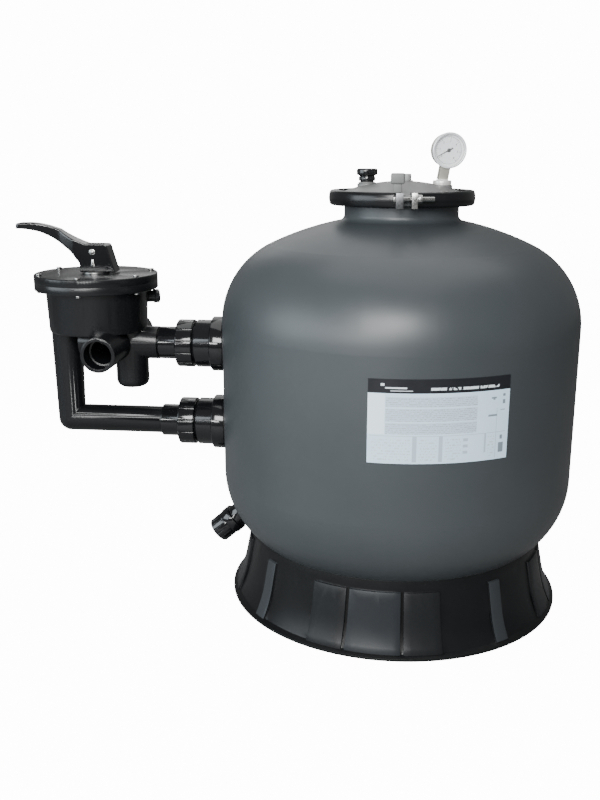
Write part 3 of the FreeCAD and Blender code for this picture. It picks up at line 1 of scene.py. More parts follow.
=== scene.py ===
"""Looks of a side-mount pool sand filter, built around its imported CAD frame. Metres, +Z up."""
import bpy
import json
import math
from mathutils import Matrix, Vector


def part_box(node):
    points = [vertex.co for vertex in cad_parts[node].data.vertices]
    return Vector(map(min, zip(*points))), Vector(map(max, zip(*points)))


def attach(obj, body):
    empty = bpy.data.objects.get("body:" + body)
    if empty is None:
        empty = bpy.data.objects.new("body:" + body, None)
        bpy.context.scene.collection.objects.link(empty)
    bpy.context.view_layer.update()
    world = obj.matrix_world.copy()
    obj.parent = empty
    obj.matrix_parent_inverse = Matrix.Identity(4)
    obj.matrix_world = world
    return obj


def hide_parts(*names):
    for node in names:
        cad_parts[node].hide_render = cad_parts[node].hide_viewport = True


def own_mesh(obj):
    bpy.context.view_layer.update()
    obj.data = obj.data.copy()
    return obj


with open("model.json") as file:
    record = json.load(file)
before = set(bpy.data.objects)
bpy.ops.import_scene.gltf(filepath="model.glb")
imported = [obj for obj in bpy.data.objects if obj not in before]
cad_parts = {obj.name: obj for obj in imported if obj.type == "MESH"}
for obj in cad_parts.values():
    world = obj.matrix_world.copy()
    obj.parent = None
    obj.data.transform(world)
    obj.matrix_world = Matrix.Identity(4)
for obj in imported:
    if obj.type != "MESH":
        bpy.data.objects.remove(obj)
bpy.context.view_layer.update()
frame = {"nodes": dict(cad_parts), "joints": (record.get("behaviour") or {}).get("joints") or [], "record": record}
nodes = frame["nodes"]
record = frame["record"]
bodies = record["behaviour"]["bodies"]
joints = {joint["name"]: joint for joint in frame["joints"]}


# ---------------------------------------------------------------- shader helpers

RAMP_STOPS = (0.35, 0.65)       # noise values where a drift of colour starts and ends
RANGE_STOPS = (0.3, 0.7)        # noise values where a drift of numbers starts and ends
SWELL_STRENGTH = 0.12           # slow swell of a moulded surface
GRAIN_STRENGTH = 0.25           # fine grain of a moulded surface
GLOSS_FINENESS = 2.3            # how much finer the gloss of a plastic varies than its colour
BRUSH_SCALE = 300.0             # fineness of a metal's brush lines
BRUSH_STRETCH = (1, 12, 1)      # their direction
CLEAN_LIFT = 1.06               # how much brighter a silvered surface is where it is clean


def shader_of(material):
    """The main shader of a material."""
    return next(node for node in material.node_tree.nodes if node.type == "BSDF_PRINCIPLED")


def new_material(name):
    """A fresh node material, its tree and its shader."""
    material = bpy.data.materials.new(name)
    material.use_nodes = True
    return material, material.node_tree, shader_of(material)


def object_noise(tree, scale, detail, roughness, stretch=(1, 1, 1)):
    """Noise that follows the piece, as fine as the scale says."""
    coordinates = tree.nodes.new("ShaderNodeTexCoord")
    mapping = tree.nodes.new("ShaderNodeMapping")
    mapping.inputs["Scale"].default_value = stretch
    noise = tree.nodes.new("ShaderNodeTexNoise")
    noise.inputs["Scale"].default_value = scale
    noise.inputs["Detail"].default_value = detail
    noise.inputs["Roughness"].default_value = roughness
    tree.links.new(coordinates.outputs["Object"], mapping.inputs["Vector"])
    tree.links.new(mapping.outputs["Vector"], noise.inputs["Vector"])
    return noise.outputs["Fac"]


def ramp(tree, source, low, high):
    """Turns a noise into a colour between two colours."""
    node = tree.nodes.new("ShaderNodeValToRGB")
    for stop, position, colour in zip(node.color_ramp.elements, RAMP_STOPS, (low, high)):
        stop.position = position
        stop.color = (*colour, 1)
    tree.links.new(source, node.inputs["Fac"])
    return node.outputs["Color"]


def remap(tree, source, low, high):
    """Turns a noise into a number between two numbers."""
    node = tree.nodes.new("ShaderNodeMapRange")
    node.inputs["From Min"].default_value, node.inputs["From Max"].default_value = RANGE_STOPS
    node.inputs["To Min"].default_value = low
    node.inputs["To Max"].default_value = high
    tree.links.new(source, node.inputs["Value"])
    return node.outputs["Result"]


def add_bump(tree, shader, source, strength, distance, under=None):
    """Bumps the surface by a height, on top of an earlier bump."""
    bump = tree.nodes.new("ShaderNodeBump")
    bump.inputs["Strength"].default_value = strength
    bump.inputs["Distance"].default_value = distance
    tree.links.new(source, bump.inputs["Height"])
    if under is not None:
        tree.links.new(under, bump.inputs["Normal"])
    tree.links.new(bump.outputs["Normal"], shader.inputs["Normal"])
    return bump.outputs["Normal"]


def add_grain(tree, shader, drift, swell, grain, grain_depth):
    """Bumps a moulded surface by its slow swell and its fine grain."""
    under = add_bump(tree, shader, drift, SWELL_STRENGTH, swell)
    fine = object_noise(tree, grain, detail=2.0, roughness=0.5)
    add_bump(tree, shader, fine, GRAIN_STRENGTH, grain_depth, under)


def math_node(tree, operation, first, second=0.0):
    """One maths node on values or numbers."""
    node = tree.nodes.new("ShaderNodeMath")
    node.operation = operation
    for socket, source in zip(node.inputs, (first, second)):
        if isinstance(source, (int, float)):
            socket.default_value = source
        else:
            tree.links.new(source, socket)
    return node.outputs["Value"]


def between(tree, value, low, high):
    """1 where a value lies between two numbers."""
    above = math_node(tree, "GREATER_THAN", value, low)
    below = math_node(tree, "LESS_THAN", value, high)
    return math_node(tree, "MULTIPLY", above, below)


def any_of(tree, masks):
    """1 where any of the masks is 1."""
    total = masks[0]
    for mask in masks[1:]:
        total = math_node(tree, "MAXIMUM", total, mask)
    return total


def tint(tree, base, mask, colour):
    """Lays a colour over another where the mask is 1."""
    mix = tree.nodes.new("ShaderNodeMix")
    mix.data_type = "RGBA"
    tree.links.new(mask, mix.inputs["Factor"])
    tree.links.new(base, mix.inputs["A"])
    mix.inputs["B"].default_value = (*colour, 1)
    return mix.outputs["Result"]


# ---------------------------------------------------------------- finishes

# The pattern of the skirt, in degrees aside from the middle of its front panel.
PATTERN_TURN = 90               # it repeats every quarter turn
FRONT_PANEL = -95.5             # direction of that middle, from +X
# The panels are painted paler than the recesses and the strip paler still, as painted highlight; the joints are
# painted darker, as painted shade.
PANEL = (-1, 8.95)
JOINT_SHADE = (8.95, 10.1)
SIDE_PANEL = (10.1, 22.6)
HIGHLIGHT_STRIP = (42.5, 46)
PATTERN_HEIGHTS = (0.008, 0.1065)

PLASTICS = {
    "tank_grey": dict(dark=(0.038, 0.0445, 0.0485), light=(0.0435, 0.051, 0.055), roughness=0.40, grain=700,
                      grain_depth=0.00016, mottle=4.0, spread=0.03, swell=0.0003),
    "black_plastic": dict(dark=(0.004, 0.0043, 0.005), light=(0.0055, 0.006, 0.0068), roughness=0.12,
                          grain=900, grain_depth=0.000008, mottle=5.0, spread=0.02, swell=0.00008,
                          shine=0.62),
    "satin_black": dict(dark=(0.0045, 0.0049, 0.0056), light=(0.006, 0.0065, 0.0073), roughness=0.26,
                        grain=900, grain_depth=0.000006, mottle=4.0, spread=0.02, swell=0.00005, shine=0.4),
    "lid_grey": dict(dark=(0.14, 0.143, 0.14), light=(0.17, 0.173, 0.17), roughness=0.45, grain=900,
                     grain_depth=0.0001),
    "white_plastic": dict(dark=(0.75, 0.75, 0.74), light=(0.82, 0.82, 0.81), roughness=0.4, grain=900,
                          grain_depth=0.00008),
    "plug_grey": dict(dark=(0.27, 0.275, 0.27), light=(0.32, 0.325, 0.32), roughness=0.4, grain=900,
                      grain_depth=0.00008),
    "gauge_ink": dict(dark=(0.01, 0.01, 0.01), light=(0.02, 0.02, 0.02), roughness=0.4, grain=900,
                      grain_depth=0.00005),
    "dial_white": dict(dark=(0.93, 0.95, 0.97), light=(0.96, 0.975, 0.99), roughness=0.4, grain=900,
                       grain_depth=0.00002),
    "smoked_plastic": dict(dark=(0.02, 0.022, 0.024), light=(0.035, 0.037, 0.04), roughness=0.12, grain=900,
                           grain_depth=0.00002, spread=0.03, swell=0.0002),
    "label_print": dict(dark=(0.66, 0.72, 0.78), light=(0.70, 0.76, 0.82), roughness=0.35, grain=900,
                        grain_depth=0.00003),
    "rubber": dict(dark=(0.012, 0.012, 0.012), light=(0.02, 0.02, 0.02), roughness=0.65, grain=1200,
                   grain_depth=0.0002),
}
METALS = {
    "steel": dict(dark=(0.34, 0.34, 0.33), light=(0.48, 0.48, 0.47), roughness=0.24),
    "dull_steel": dict(dark=(0.13, 0.135, 0.14), light=(0.18, 0.185, 0.19), roughness=0.34),
}
SILVERED = {
    "bezel_silver": dict(colour=(0.88, 0.90, 0.92), roughness=0.3, share=0.25),
    "stem_nickel": dict(colour=(0.62, 0.60, 0.52), roughness=0.34, share=0.6),
    "bushing_nickel": dict(colour=(0.86, 0.85, 0.81), roughness=0.3, share=0.45),
}
SPECIAL_FINISH = {
    "base_skirt": "skirt_plastic", "gauge_lens": "gauge_window", "gauge_bezel": "bezel_silver",
    "gauge_case": "stem_nickel", "gauge_bushing": "bushing_nickel", "sight_glass": "smoked_plastic",
    "clamp_lug_left": "dull_steel", "lid_plug": "plug_grey", "drop_pipe": "satin_black",
    "upper_pipe": "satin_black", "valve_body": "satin_black", "valve_lid": "satin_black",
    "clamp_half_left": "satin_black", "clamp_half_right": "satin_black",
}


def plastic(name, dark, light, roughness, grain, grain_depth, mottle=9.0, spread=0.06, swell=0.0008,
            shine=0.5):
    """Moulded plastic: soft colour drift, fine grain and uneven gloss."""
    material, tree, shader = new_material(name)
    drift = object_noise(tree, mottle, detail=3.0, roughness=0.55)
    tree.links.new(ramp(tree, drift, dark, light), shader.inputs["Base Color"])
    gloss = object_noise(tree, mottle * GLOSS_FINENESS, detail=5.0, roughness=0.6)
    tree.links.new(remap(tree, gloss, roughness - spread, roughness + spread), shader.inputs["Roughness"])
    add_grain(tree, shader, drift, swell, grain, grain_depth)
    shader.inputs["Specular IOR Level"].default_value = shine
    return material


def metal(name, dark, light, roughness):
    """Metal with a fine directional brush and slight tarnish."""
    material, tree, shader = new_material(name)
    tarnish = object_noise(tree, 60.0, detail=4.0, roughness=0.6)
    tree.links.new(ramp(tree, tarnish, dark, light), shader.inputs["Base Color"])
    lines = object_noise(tree, BRUSH_SCALE, detail=3.0, roughness=0.6, stretch=BRUSH_STRETCH)
    tree.links.new(remap(tree, lines, roughness - 0.08, roughness + 0.1), shader.inputs["Roughness"])
    add_bump(tree, shader, lines, strength=0.15, distance=0.0001)
    shader.inputs["Metallic"].default_value = 1.0
    return material


def silvered(name, colour, roughness, share):
    """Pale silvered metal with faint haze, part metal and part paint."""
    clean = tuple(min(1.0, CLEAN_LIFT * part) for part in colour)
    material = plastic(name, colour, clean, roughness, grain=600, grain_depth=0.00002)
    shader_of(material).inputs["Metallic"].default_value = share
    return material


def make_skirt_plastic():
    """Skirt plastic: panels painted paler than the recesses and a strip paler still as painted highlight, painted
    shade darkening the joints.
    """
    material, tree, shader = new_material("skirt_plastic")
    coordinates = tree.nodes.new("ShaderNodeTexCoord")
    split = tree.nodes.new("ShaderNodeSeparateXYZ")
    tree.links.new(coordinates.outputs["Object"], split.inputs["Vector"])
    facing = math_node(tree, "ARCTAN2", split.outputs["Y"], split.outputs["X"])
    facing = math_node(tree, "MULTIPLY", facing, 180 / math.pi)
    facing = math_node(tree, "ADD", facing, 360 + PATTERN_TURN / 2 - FRONT_PANEL)
    offset = math_node(tree, "SUBTRACT", math_node(tree, "MODULO", facing, PATTERN_TURN), PATTERN_TURN / 2)
    aside = math_node(tree, "ABSOLUTE", offset)
    band = between(tree, split.outputs["Z"], *PATTERN_HEIGHTS)
    drift = object_noise(tree, 8.0, detail=3.0, roughness=0.55)
    colour = ramp(tree, drift, (0.0045, 0.0049, 0.0054), (0.0062, 0.0067, 0.0074))
    # Painted highlight on the panels and the strip, painted shade in the joints between the panels.
    for sector, shade in ((PANEL, (0.017, 0.0195, 0.0225)), (SIDE_PANEL, (0.0095, 0.0105, 0.0118)),
                          (JOINT_SHADE, (0.002, 0.002, 0.0022)), (HIGHLIGHT_STRIP, (0.030, 0.034, 0.038))):
        mask = math_node(tree, "MULTIPLY", between(tree, aside, *sector), band)
        colour = tint(tree, colour, mask, shade)
    tree.links.new(colour, shader.inputs["Base Color"])
    gloss = object_noise(tree, 20.0, detail=5.0, roughness=0.6)
    tree.links.new(remap(tree, gloss, 0.3, 0.38), shader.inputs["Roughness"])
    add_grain(tree, shader, drift, swell=0.0003, grain=700, grain_depth=0.00008)
    shader.inputs["Specular IOR Level"].default_value = 0.22
    return material


def make_gauge_window():
    """Thin clear window with a faint haze."""
    material, tree, shader = new_material("gauge_window")
    haze = object_noise(tree, 120.0, detail=3.0, roughness=0.5)
    tree.links.new(remap(tree, haze, 0.04, 0.1), shader.inputs["Roughness"])
    shader.inputs["Base Color"].default_value = (0.95, 0.97, 0.98, 1)
    shader.inputs["Alpha"].default_value = 0.05
    return material


def make_finishes():
    """Every finish of the object by its name."""
    finishes = {name: plastic(name, **look) for name, look in PLASTICS.items()}
    finishes.update({name: metal(name, **look) for name, look in METALS.items()})
    finishes.update({name: silvered(name, **look) for name, look in SILVERED.items()})
    finishes["skirt_plastic"] = make_skirt_plastic()
    finishes["gauge_window"] = make_gauge_window()
    return finishes


def paint_cad():
    """Gives each CAD node its special finish, or the finish of its slot."""
    for entry in record["subparts"]:
        painted = nodes[entry["node"]].data.materials
        painted.clear()
        painted.append(finishes[SPECIAL_FINISH.get(entry["node"], entry["material_slot"])])


finishes = make_finishes()
paint_cad()


# ---------------------------------------------------------------- modelling helpers

TINY = 0.00001                  # radius that stands for a point on the lathe, and the gap that is merged
EDGE_ANGLE = 32                 # edges sharper than this are rounded, degrees
SMOOTH_ANGLE = 38               # edges flatter than this are shaded smooth, degrees
FLAT_ANGLE = 0.4                # faces nearer than this to one plane are merged, degrees


def deselect():
    """Leaves edit mode and clears the selection."""
    if bpy.context.mode != "OBJECT":
        bpy.ops.object.mode_set(mode="OBJECT")
    bpy.ops.object.select_all(action="DESELECT")


def pick(piece):
    """Makes one object the only selected and active one."""
    deselect()
    piece.select_set(True)
    bpy.context.view_layer.objects.active = piece


def edit_all():
    """Opens the active piece in edit mode with all of it selected."""
    bpy.ops.object.mode_set(mode="EDIT")
    bpy.ops.mesh.select_all(action="SELECT")


def apply_place():
    """Puts the place, turn and size of the selected piece into its mesh."""
    bpy.ops.object.transform_apply(location=True, rotation=True, scale=True)


def apply_modifiers(piece):
    """Applies every modifier in order."""
    pick(piece)
    for modifier in list(piece.modifiers):
        bpy.ops.object.modifier_apply(modifier=modifier.name)


def shade_smooth(piece, degrees=SMOOTH_ANGLE):
    """Shades a piece smooth, except across edges sharper than the angle."""
    pick(piece)
    bpy.ops.object.shade_smooth_by_angle(angle=math.radians(degrees))


def soften(piece, width):
    """Rounds the hard edges and shades the rest smoothly."""
    bevel = piece.modifiers.new("edges", "BEVEL")
    bevel.width = width
    bevel.segments = 2
    bevel.limit_method = "ANGLE"
    bevel.angle_limit = math.radians(EDGE_ANGLE)
    bevel.use_clamp_overlap = True
    bevel.harden_normals = False
    apply_modifiers(piece)
    shade_smooth(piece)


def settle(piece, place, direction=(0, 0, 1)):
    """Stands a piece that was made about Z at a place, pointing along a direction."""
    pick(piece)
    piece.rotation_mode = "QUATERNION"
    piece.rotation_quaternion = Vector((0, 0, 1)).rotation_difference(Vector(direction))
    piece.location = place
    apply_place()


def lathe(name, outline, segments, closed=False):
    """Turns an outline of (radius, height) pairs about Z, one extruded ring after another."""
    deselect()
    radius, height = outline[0]
    bpy.ops.mesh.primitive_circle_add(vertices=segments, radius=max(radius, TINY), fill_type="NOTHING",
                                      location=(0, 0, height))
    piece = bpy.context.active_object
    piece.name = name
    apply_place()
    edit_all()
    for next_radius, next_height in outline[1:]:
        factor = max(next_radius, TINY) / max(radius, TINY)
        bpy.ops.mesh.extrude_region_move(TRANSFORM_OT_translate={"value": (0, 0, next_height - height)})
        bpy.ops.transform.resize(value=(factor, factor, 1), center_override=(0, 0, 0))
        radius, height = next_radius, next_height
    bpy.ops.mesh.select_all(action="SELECT")
    bpy.ops.mesh.remove_doubles(threshold=2 * TINY)
    if not closed:
        bpy.ops.mesh.select_all(action="DESELECT")
        bpy.ops.mesh.select_non_manifold()
        bpy.ops.mesh.fill()
    bpy.ops.mesh.select_all(action="SELECT")
    bpy.ops.mesh.normals_make_consistent(inside=False)
    bpy.ops.object.mode_set(mode="OBJECT")
    return piece


def block(name, size, place, bevel=0.0, segments=2):
    """A box of the given size at a place, its edges bevelled in edit mode."""
    deselect()
    bpy.ops.mesh.primitive_cube_add(size=1, location=place)
    piece = bpy.context.active_object
    piece.name = name
    piece.scale = size
    apply_place()
    if bevel:
        edit_all()
        bpy.ops.mesh.bevel(offset=bevel, segments=segments, affect="EDGES")
        bpy.ops.object.mode_set(mode="OBJECT")
    return piece


def copies_round(piece, angles):
    """Copies of a piece turned about Z, each with its own mesh. The piece itself isn't kept."""
    copies = []
    for angle in angles:
        pick(piece)
        bpy.ops.object.duplicate()
        turned = bpy.context.active_object
        turned.rotation_euler = (0, 0, angle)
        apply_place()
        copies.append(turned)
    bpy.data.objects.remove(piece)
    return copies


def join(name, pieces):
    """Joins several meshes into one piece, and leaves it picked."""
    deselect()
    for piece in pieces:
        piece.select_set(True)
    bpy.context.view_layer.objects.active = pieces[0]
    bpy.ops.object.join()
    pieces[0].name = name
    pick(pieces[0])
    return pieces[0]


def finish_piece(piece, body, slot, *replaced):
    """Gives a piece its finish and its body, and hides the CAD nodes that it stands for."""
    if not piece.data.materials:
        piece.data.materials.append(finishes[slot])
    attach(piece, body)
    if replaced:
        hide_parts(*replaced)


def body_of(node):
    """The body that a CAD node rides on."""
    return next(name for name, members in bodies.items() if node in members)


def slot_of(node):
    """The material slot of a CAD node."""
    return next(entry["material_slot"] for entry in record["subparts"] if entry["node"] == node)


def moulded(node, width=0.0):
    """A copy of a CAD node with merged faces and rounded edges, shown in the node's place."""
    source = nodes[node]
    piece = source.copy()
    piece.data = source.data.copy()
    piece.parent = None
    for key in list(piece.keys()):
        del piece[key]
    bpy.context.scene.collection.objects.link(piece)
    piece.name = "moulded_" + node
    pick(piece)
    edit_all()
    bpy.ops.mesh.remove_doubles(threshold=TINY)
    bpy.ops.mesh.dissolve_limited(angle_limit=math.radians(FLAT_ANGLE))
    bpy.ops.object.mode_set(mode="OBJECT")
    if width:
        soften(piece, width)
    else:
        shade_smooth(piece)
    finish_piece(piece, body_of(node), slot_of(node), node)
    return piece


# ---------------------------------------------------------------- moulded and machined pieces

EDGE_WIDTHS = {
    "base_skirt": 0.0012, "clamp_half_left": 0.0, "clamp_half_right": 0.0, "clamp_lug_left": 0.001,
    "clamp_lug_right": 0.001, "clamp_bolt": 0.0004, "clamp_nut": 0.0004, "clamp_washer": 0.0003,
    "rear_clamp_lugs": 0.001, "filter_lid": 0.0008, "lid_plug": 0.0006, "air_release_seat": 0.0005,
    "gauge_bushing": 0.0006, "gauge_case": 0.0008, "upper_bulkhead": 0.0012, "lower_bulkhead": 0.0012,
    "upper_union_nut": 0.0005, "lower_union_nut": 0.0005, "upper_union_tail": 0.0008,
    "lower_union_tail": 0.0008, "upper_pipe": 0.0, "drop_pipe": 0.0, "valve_body": 0.0012,
    "valve_lid": 0.0012, "valve_bolts": 0.0004, "handle_pin": 0.0006, "thrust_washer": 0.0002,
    "drain_spigot": 0.0008, "drain_cap": 0.0008, "sight_glass": 0.0005, "gauge_bezel": 0.0004,
}
for node_name, edge_width in EDGE_WIDTHS.items():
    moulded(node_name, edge_width)


# ---------------------------------------------------------------- valve spring and lever

LEVER_VOXEL = 0.001             # cell size of the lever's skin
RELAX_FACTOR = 0.5              # how far each round of smoothing relaxes it
RELAX_ROUNDS = 9
CLIP_DROP = 0.0195              # from the lever's pin down to the middle of the clip's tongue
TONGUE_FLARE = 60               # how much the tongue widens downwards, per metre


def make_spring():
    """The valve's spring, a smooth-shaded copy of the CAD spring with a mesh of its own."""
    spring = moulded("valve_spring")
    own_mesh(spring)


def make_lever():
    """The valve's spoon-shaped lever, its whole skin drawn smooth over the CAD lever."""
    lever = moulded("handle")
    lever.name = "spoon_lever"
    skin = lever.modifiers.new("skin", "REMESH")
    skin.mode = "VOXEL"
    skin.voxel_size = LEVER_VOXEL
    relax = lever.modifiers.new("relax", "SMOOTH")
    relax.factor = RELAX_FACTOR
    relax.iterations = RELAX_ROUNDS
    apply_modifiers(lever)
    bpy.ops.object.shade_smooth()
    lever.data.materials.clear()
    lever.data.materials.append(finishes["black_plastic"])


def make_lever_clip():
    """Bright washer and split end that hold the lever's pin at its front."""
    pin_low, pin_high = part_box("handle_pin")
    axis = (pin_low + pin_high) / 2
    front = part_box("handle")[0].y
    washer = lathe("clip_washer", [(0.0058, 0), (0.0058, 0.0007), (0.0052, 0.0011), (0.0036, 0.0012),
                                   (0.0030, 0.0020), (0.0014, 0.0025), (0, 0.0026)], segments=40)
    settle(washer, (axis.x, front + 0.0003, axis.z), direction=(0, -1, 0))
    middle = axis.z - CLIP_DROP
    tongue = block("clip_tongue", (0.0062, 0.0014, 0.0130), (axis.x, front, middle), bevel=0.0005)
    for vertex in tongue.data.vertices:
        flare = 0.9 - TONGUE_FLARE * (vertex.co.z - middle)
        vertex.co.x = axis.x + (vertex.co.x - axis.x) * flare
    clip = join("lever_clip", [washer, tongue])
    shade_smooth(clip, 40)
    finish_piece(clip, body_of("handle"), "steel")


make_spring()
make_lever()
make_lever_clip()


# ---------------------------------------------------------------- lift tab and thread tape

TAB_WIDTH = 0.88                # width of the tab's head, as a share of the CAD tab's
TAB_HEAD = 0.55                 # height of its head, as a share of the whole height
TAB_STEM = 0.6                  # width and depth of its stem, as shares of the head's
STEM_TOP = 0.6                  # depth of the stem's top in the head, as a share of the head's height


def make_lift_tab():
    """Grey T-shaped grip that stands on the left clamp lug."""
    low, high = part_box("clamp_tab")
    width, depth, height = TAB_WIDTH * (high.x - low.x), high.y - low.y, high.z - low.z
    x, y = low.x + width / 2, (low.y + high.y) / 2
    head_height = TAB_HEAD * height
    stem_height = height - STEM_TOP * head_height
    head = block("tab_head", (width, depth, head_height), (x, y, high.z - head_height / 2),
                 bevel=0.0028, segments=4)
    stem = block("tab_stem", (TAB_STEM * width, TAB_STEM * depth, stem_height),
                 (x, y, low.z + stem_height / 2), bevel=0.0014, segments=3)
    tab = join("lift_tab", [head, stem])
    shade_smooth(tab, 50)
    finish_piece(tab, body_of("clamp_tab"), slot_of("clamp_tab"), "clamp_tab")


def make_thread_tape():
    """White sealing tape squeezed out between the gauge stem and its bushing."""
    low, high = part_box("gauge_bushing")
    tape = lathe("thread_tape", [(0.0062, -0.0004), (0.0098, -0.0004), (0.0102, 0.0004), (0.0098, 0.0011),
                                 (0.0084, 0.0014), (0.0062, 0.0014), (0.0062, -0.0004)], segments=48,
                 closed=True)
    shade_smooth(tape, 50)
    settle(tape, ((low.x + high.x) / 2, (low.y + high.y) / 2, high.z + 0.0004))
    finish_piece(tape, body_of("gauge_bushing"), "white_plastic")


make_lift_tab()
make_thread_tape()


# ---------------------------------------------------------------- rating label

LABEL_FILM = 0.0006             # thickness of the label

# Areas of the print: left, right, low and high edge, as shares of the label's width and height.
EMBLEM_PANEL = (0.0, 0.115, 0.35, 0.83)
FIELDS = [(0.12, 0.75, 0.675, 0.79), (0.12, 0.75, 0.505, 0.655), (0.12, 0.75, 0.355, 0.485)]
TABLE = [(0.015, 0.98, 0.328, 0.334), (0.305, 0.335, 0.02, 0.328), (0.485, 0.512, 0.02, 0.328),
         (0.812, 0.826, 0.1, 0.33), (0.90, 0.904, 0.02, 0.62), (0.655, 0.69, 0.255, 0.29),
         (0.655, 0.69, 0.18, 0.215), (0.655, 0.69, 0.105, 0.14)]
COLUMNS = [(0.03, 0.29, 0.04, 0.30), (0.35, 0.47, 0.04, 0.30), (0.53, 0.64, 0.04, 0.30),
           (0.84, 0.89, 0.05, 0.31)]
MARKS = [(0.855, 0.895, 0.735, 0.755), (0.868, 0.884, 0.72, 0.735), (0.945, 0.965, 0.755, 0.785),
         (0.945, 0.965, 0.665, 0.715), (0.835, 0.905, 0.525, 0.548), (0.93, 0.965, 0.59, 0.60),
         (0.935, 0.955, 0.24, 0.29), (0.925, 0.965, 0.08, 0.20)]
HEADER = (-1.0, 2.0, 0.835, 2.0)
TITLE = (0.42, 0.91, 0.87, 0.935)
HEADER_MARKS = [(0.085, 0.11, 0.92, 0.95), (0.115, 0.26, 0.888, 0.906), (0.15, 0.30, 0.86, 0.868)]


def print_lines(tree, label_map, up, rows, words, cover):
    """Small dashes in rows, as fine as unreadable print."""
    row = math_node(tree, "FRACT", math_node(tree, "MULTIPLY", up, rows))
    in_row = between(tree, row, 0.25, 0.72)
    mapping = tree.nodes.new("ShaderNodeMapping")
    mapping.inputs["Scale"].default_value = (words, rows, 1)
    tree.links.new(label_map, mapping.inputs["Vector"])
    noise = tree.nodes.new("ShaderNodeTexNoise")
    noise.inputs["Scale"].default_value = 1.0
    noise.inputs["Detail"].default_value = 1.0
    tree.links.new(mapping.outputs["Vector"], noise.inputs["Vector"])
    dash = math_node(tree, "GREATER_THAN", noise.outputs["Fac"], 1 - cover)
    return math_node(tree, "MULTIPLY", in_row, dash)


def make_label_print():
    """Generic rating plate: dark header with blank marks, pale fields, a table and small dashes."""
    material, tree, shader = new_material("rating_print")
    coordinates = tree.nodes.new("ShaderNodeUVMap")
    coordinates.uv_map = "label_map"
    label_map = coordinates.outputs["UV"]
    split = tree.nodes.new("ShaderNodeSeparateXYZ")
    tree.links.new(label_map, split.inputs["Vector"])
    across, up = split.outputs["X"], split.outputs["Y"]

    def areas(*rectangles):
        masks = [math_node(tree, "MULTIPLY", between(tree, across, left, right), between(tree, up, low, high))
                 for left, right, low, high in rectangles]
        return any_of(tree, masks)

    def printed(where, rows, words, cover):
        return math_node(tree, "MULTIPLY", print_lines(tree, label_map, up, rows, words, cover), where)

    film = object_noise(tree, 40.0, detail=3.0, roughness=0.5)
    paper = ramp(tree, film, (0.60, 0.80, 0.95), (0.64, 0.83, 0.97))
    paper = tint(tree, paper, areas(EMBLEM_PANEL), (0.78, 0.92, 1.0))
    fields = areas(*FIELDS)
    paper = tint(tree, paper, fields, (0.52, 0.66, 0.78))
    paper = tint(tree, paper, printed(fields, rows=46.0, words=170.0, cover=0.5), (0.34, 0.40, 0.46))
    paper = tint(tree, paper, areas(*TABLE), (0.42, 0.53, 0.62))
    entries = printed(areas(*COLUMNS), rows=30.0, words=110.0, cover=0.46)
    paper = tint(tree, paper, entries, (0.50, 0.60, 0.68))
    paper = tint(tree, paper, areas(*MARKS), (0.20, 0.25, 0.29))
    paper = tint(tree, paper, areas(HEADER), (0.008, 0.009, 0.012))
    title = printed(areas(TITLE), rows=13.0, words=62.0, cover=0.56)
    paper = tint(tree, paper, any_of(tree, [areas(*HEADER_MARKS), title]), (0.72, 0.78, 0.82))
    tree.links.new(paper, shader.inputs["Base Color"])
    tree.links.new(remap(tree, film, 0.28, 0.4), shader.inputs["Roughness"])
    add_bump(tree, shader, object_noise(tree, 500.0, detail=2.0, roughness=0.5), strength=0.1,
             distance=0.00004)
    return material


def make_label():
    """A thin film that follows the tank's side."""
    low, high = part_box("rating_label")
    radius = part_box("tank_shell")[1].x + LABEL_FILM
    start = math.asin(low.x / radius)
    end = math.asin(high.x / radius)
    deselect()
    bpy.ops.mesh.primitive_grid_add(x_subdivisions=64, y_subdivisions=6, size=1, calc_uvs=True,
                                    location=(0.5, 0.5, 0))
    label = bpy.context.active_object
    label.name = "printed_label"
    apply_place()
    label.data.uv_layers[0].name = "label_map"
    for vertex in label.data.vertices:
        angle = start + (end - start) * vertex.co.x
        height = low.z + (high.z - low.z) * vertex.co.y
        vertex.co = (radius * math.sin(angle), -radius * math.cos(angle), height)
    film = label.modifiers.new("film", "SOLIDIFY")
    film.thickness = LABEL_FILM
    film.offset = -1
    apply_modifiers(label)
    shade_smooth(label, 40)
    label.data.materials.append(make_label_print())
    finish_piece(label, "tank_body", "label_print", "rating_label")


make_label()


# ---------------------------------------------------------------- pressure gauge

GAUGE_LEAN = math.radians(9)    # how far the gauge leans to the right
SCALE_STEPS = 30                # fine divisions of the scale
NUMBER_STEPS = 5                # a number stands at each fifth
SCALE_START = 135               # degrees left of upright
SCALE_SWEEP = 270
TICK_RADIUS = 0.0222            # outer ends of the ticks
NUMBER_RADIUS = 0.0158          # middles of the numbers
NUMBER_HEIGHT = 0.0048
INK_LIFT = 0.0001               # height of the ink's middle over the dial
NEEDLE_LENGTH = 0.0305
NEEDLE_TAIL = 0.008             # how much of it lies behind the axis
NEEDLE_TAPER = 0.72             # how much narrower the tip is than the tail
NEEDLE_GAP = 0.0006             # least gap between dial and needle


def gauge_frame():
    """Centre, direction to the right, upright direction and face direction, from the needle's axis."""
    sweep = joints["gauge_sweep"]
    centre = Vector(sweep["pos_m"])
    face = -Vector(sweep["axis"]).normalized()
    lean = Vector((math.sin(GAUGE_LEAN), 0, math.cos(GAUGE_LEAN)))
    upright = (lean - face * lean.dot(face)).normalized()
    return centre, upright.cross(face), upright, face


def stand_on_face(piece, distance):
    """Moves a piece drawn in the XY plane onto the gauge's face, that far from the needle's axis point."""
    centre, across, upright, face = gauge_frame()
    turn = Matrix((across, upright, face)).transposed().to_4x4()
    pick(piece)
    piece.matrix_world = Matrix.Translation(centre + face * distance) @ turn
    apply_place()


def dial_height():
    """How far the dial's front lies along the face direction from the needle's axis point."""
    centre, across, upright, face = gauge_frame()
    return max((vertex.co - centre).dot(face) for vertex in nodes["gauge_dial"].data.vertices)


